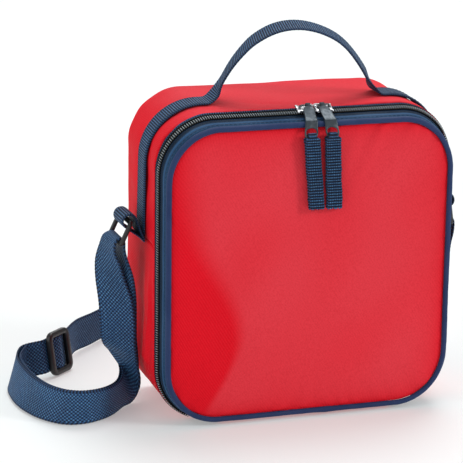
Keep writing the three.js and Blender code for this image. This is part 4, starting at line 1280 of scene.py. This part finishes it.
def lay_strap(name, pairs, nodes):
    """A length of strap through pairs, kept just off the floor, with gently scalloped edges."""
    edges = np.array(pairs, float)
    t = np.arange(0, len(pairs) - 1 + 1e-9, 0.04)
    left, right = catmull(edges[:, 0], t), catmull(edges[:, 1], t)
    left, right = resample(left, right, 1.0)
    left, right = smoothed(left, 3), smoothed(right, 3)
    left, right = resample(left, right, 0.65)
    middle = (left + right) / 2
    across = unit(right - left)
    half = STRAP_WIDTH / 2
    left, right = middle - across * half, middle + across * half
    low = np.minimum(left[:, 2], right[:, 2])
    lift = np.clip(0.35 - low, 0, None)[:, None] * np.array([0, 0, 1.0])
    left, right = left + lift, right + lift
    scallop = (0.10 * np.cos(2 * math.pi * along(middle) / 2.7))[:, None] * across
    left, right = left - scallop, right + scallop
    shell = Shell()
    ribbon(shell, left, right, WEBBING, columns=15)
    web = shell.object(name, STRAP_WEB, None, nodes, "navy_webbing")
    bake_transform(web)


def ring_low(side):
    """The middle of the hanging ring's lower bar, as (x, z)."""
    sign = -1 if side == "left" else 1
    x = sign * (RING["x"] + RING_REACH * math.sin(RING_HANG[side]))
    return x, RING["z"] - RING_REACH * math.cos(RING_HANG[side])


def build_strap():
    glide = glide_pairs()
    x, z = ring_low("left")
    turn = along_y([(x + 3.3, z - 5.5), *arc(x, z, 3.3, 0, 125, 6)])
    turn += [
        [[x - 5.6, 16.0, z + 1.0], [x - 3.6, -9.0, z - 0.5]],
        [[x - 8.4, 15.8, z - 6.0], [x - 3.4, -8.4, z - 7.5]],
        [[-137.2, 15.0, 108.0], [-124.2, -6.6, 107.0]],
    ]
    inner = beside(STRAP_FLOOR_LOOP, -LAYER_SPACING)
    bridge = beside(STRAP_DROP[-1:] + STRAP_FLOOR_LOOP[:2], -LAYER_SPACING)
    up = inner[:1:-1] + bridge[::-1][:2] + RETURN_DROP[:0:-1]
    first = up + turn + STRAP_DROP[1:] + STRAP_FLOOR_LOOP + glide
    lay_strap("strap_left", first, [
        "strap_drop_left", "strap_return_drop", "strap_return_loop", "strap_floor_loop",
        "strap_through_glide", "strap_end_loop_left",
    ])
    x, z = ring_low("right")
    turn = along_y([(x - 3.5, z - 6.0), *arc(x, z, 3.3, 180, 0, 8), (x + 3.1, z - 7.0), (x + 1.2, z - 16.0),
                    (x + 0.4, z - 25.0)])
    second = [glide[7]] + STRAP_BACK_RUN + STRAP_RISE[:-1] + turn
    lay_strap("strap_right", second, [
        "strap_back_run", "strap_rise_right", "strap_end_loop_right",
    ])


def frame_ring(shell, width, height, bar, thickness, corner, place):
    """A moulded rectangular frame with rounded bars, flat in XY before place."""
    w, h = (width - bar) / 2, (height - bar) / 2
    c = corner
    path = []
    for cx, cy, start in ((w - c, h - c, 0), (-w + c, h - c, 90), (-w + c, -h + c, 180), (w - c, -h + c, 270)):
        for a in np.radians(np.linspace(start, start + 90, 9)):
            path.append([cx + c * math.cos(a), cy + c * math.sin(a), math.cos(a), math.sin(a)])
    path = np.array(path)
    fine = []
    for k in range(len(path)):
        fine.append(path[k])
        nxt = path[(k + 1) % len(path)]
        if np.hypot(*(nxt[:2] - path[k][:2])) > 3:
            for t in np.linspace(0, 1, 9)[1:-1]:
                fine.append(path[k] * (1 - t) + nxt * t)
    path = np.array(fine)
    angle = np.linspace(0, 2 * math.pi, 16, endpoint=False)
    power = 2 / 3.4
    across = np.sign(np.cos(angle)) * np.abs(np.cos(angle)) ** power * bar / 2
    deep = np.sign(np.sin(angle)) * np.abs(np.sin(angle)) ** power * thickness / 2
    rows = np.stack([
        path[:, None, 0] + path[:, None, 2] * across[None],
        path[:, None, 1] + path[:, None, 3] * across[None],
        np.broadcast_to(deep[None], (len(path), len(angle))),
    ], -1)
    shell.band(place(rows), closed_path=True)


def build_rings():
    for side, sign in (("left", -1), ("right", 1)):
        hang = RING_HANG[side]
        down = np.array([sign * math.sin(hang), 0, -math.cos(hang)])
        through = np.array([math.cos(hang), 0, sign * math.sin(hang)])
        top = np.array([sign * RING["x"], STRAP_Y, RING["z"]])
        middle = top + down * RING_REACH / 2
        turned = np.array([[0, 1.0, 0], -down, through])
        place = lambda p: middle + p @ turned
        shell = Shell()
        frame_ring(shell, RING["width"], RING["height"], RING["bar"], 3.0, 2.4, place)
        nodes = ["strap_ring_" + side]
        shell.object("ring_%s_plastic" % side, BLACK, "ring_" + side[0], nodes, "black_plastic")

        # the tab: webbing folded round the ring's upper bar, both ends sewn to the side
        sewn_x, sewn_z, r = RING["x"] - 8.2, SEAM_Z + 2.0, 4.9
        dx, dz = sewn_x - RING["x"], sewn_z - RING["z"]
        toward = math.degrees(math.atan2(dz, -dx))
        spread = math.degrees(math.acos(r / math.hypot(dx, dz)))
        points = [
            (-sewn_x + 2.4, sewn_z - 2.0), (-sewn_x + 1.2, sewn_z + 0.4),
            *arc(-RING["x"], RING["z"], r, toward + spread, toward - spread + 360, 14),
            (-sewn_x + 0.8, sewn_z - 1.6), (-sewn_x + 2.4, sewn_z - 3.6),
        ]
        points = [(p[0] if sign < 0 else -p[0], p[1]) for p in points]
        edges = np.array(along_y(points))
        t = np.arange(0, len(points) - 1 + 1e-9, 0.08)
        left, right = catmull(edges[:, 0], t), catmull(edges[:, 1], t)
        left, right = resample(left, right, 0.7)
        shell = Shell()
        ribbon(shell, left, right, 1.3, columns=13, rib=0.06, rib_pitch=3.0)
        shell.object("tab_%s_web" % side, HANDLE_WEB, "bag", ["side_tab_" + side], "navy_webbing")


def build_glide():
    outward = np.cross(GLIDE_ALONG, GLIDE_UP)
    up = np.cross(outward, GLIDE_ALONG)
    place = lambda p: GLIDE_CENTRE + p[..., :1] * GLIDE_ALONG + p[..., 1:2] * up + p[..., 2:] * outward
    shell = Shell()
    deep = lambda p: place(p + np.array([0, 0, 0.75]))
    frame_ring(shell, 26.4, 32.8, 4.5, 4.4, 3.8, deep)
    line = np.column_stack([np.zeros(24), np.linspace(-14.2, 14.2, 24), np.full(24, -0.65)])
    tube(shell, place(line), 1.1, 10, up=tuple(outward))
    shell.object("glide_plastic", BLACK, "bag", ["tri_glide"], "black_plastic")


# ------------------------------------------------------------------ stage


def build_camera():
    data = bpy.data.cameras.new("camera")
    data.sensor_width = 36.0
    data.lens = 180.2
    camera = bpy.data.objects.new("camera", data)
    position, target = Vector((-0.5319, -1.4980, 0.5447)), Vector((-0.0579, -0.0485, 0.1386))
    forward = (target - position).normalized()
    right = forward.cross(Vector((0, 0, 1))).normalized()
    up = right.cross(forward)
    roll = math.radians(0.777)
    across = right * math.cos(roll) + up * math.sin(roll)
    above = up * math.cos(roll) - right * math.sin(roll)
    turned = Matrix((across, above, -forward)).transposed()
    camera.matrix_world = Matrix.Translation(position) @ turned.to_4x4()
    data.clip_start, data.clip_end = 0.01, 50
    bpy.context.scene.collection.objects.link(camera)
    bpy.context.scene.camera = camera


def sun(name, azimuth, elevation, strength, angle):
    """Soft, even light; azimuth 0 comes from the front and 90 from the right."""
    data = bpy.data.lights.new(name, "SUN")
    data.energy, data.angle = strength, math.radians(angle)
    lamp = bpy.data.objects.new(name, data)
    a, e = math.radians(azimuth), math.radians(elevation)
    source = Vector((math.sin(a) * math.cos(e), -math.cos(a) * math.cos(e), math.sin(e)))
    lamp.rotation_mode = "QUATERNION"
    lamp.rotation_quaternion = (-source).to_track_quat("-Z", "Y")
    lamp.location = source
    bpy.context.scene.collection.objects.link(lamp)


def build_stage():
    mesh = bpy.data.meshes.new("floor")
    s = 6.0
    mesh.from_pydata([(-s, -s, 0), (s, -s, 0), (s, s, 0), (-s, s, 0)], [], [(0, 1, 2, 3)])
    mesh.materials.append(floor_paint())
    floor = bpy.data.objects.new("floor", mesh)
    floor.location.z = -0.0004
    bpy.context.scene.collection.objects.link(floor)
    world = bpy.data.worlds.new("studio")
    world.use_nodes = True
    world.node_tree.nodes["Background"].inputs[0].default_value = (1, 1, 1, 1)
    world.node_tree.nodes["Background"].inputs[1].default_value = 0.45
    bpy.context.scene.world = world
    sun("top", azimuth=150, elevation=68, strength=1.5, angle=30)
    sun("front", azimuth=52, elevation=25, strength=1.1, angle=14)
    sun("left", azimuth=-75, elevation=22, strength=0.9, angle=60)
    sun("rim", azimuth=160, elevation=30, strength=0.35, angle=40)
    view = bpy.context.scene.view_settings
    view.view_transform = "Standard"
    view.look = "None"
    view.exposure = 0.0
    view.gamma = 1.0


build_camera()
build_case()
build_door()
build_zip()
for pull_side in ("left", "right"):
    pulls = Pulls(pull_side)
    pulls.body()
    pulls.tab()
    pulls.puller()
build_handle()
build_rings()
build_strap()
build_glide()
build_stage()
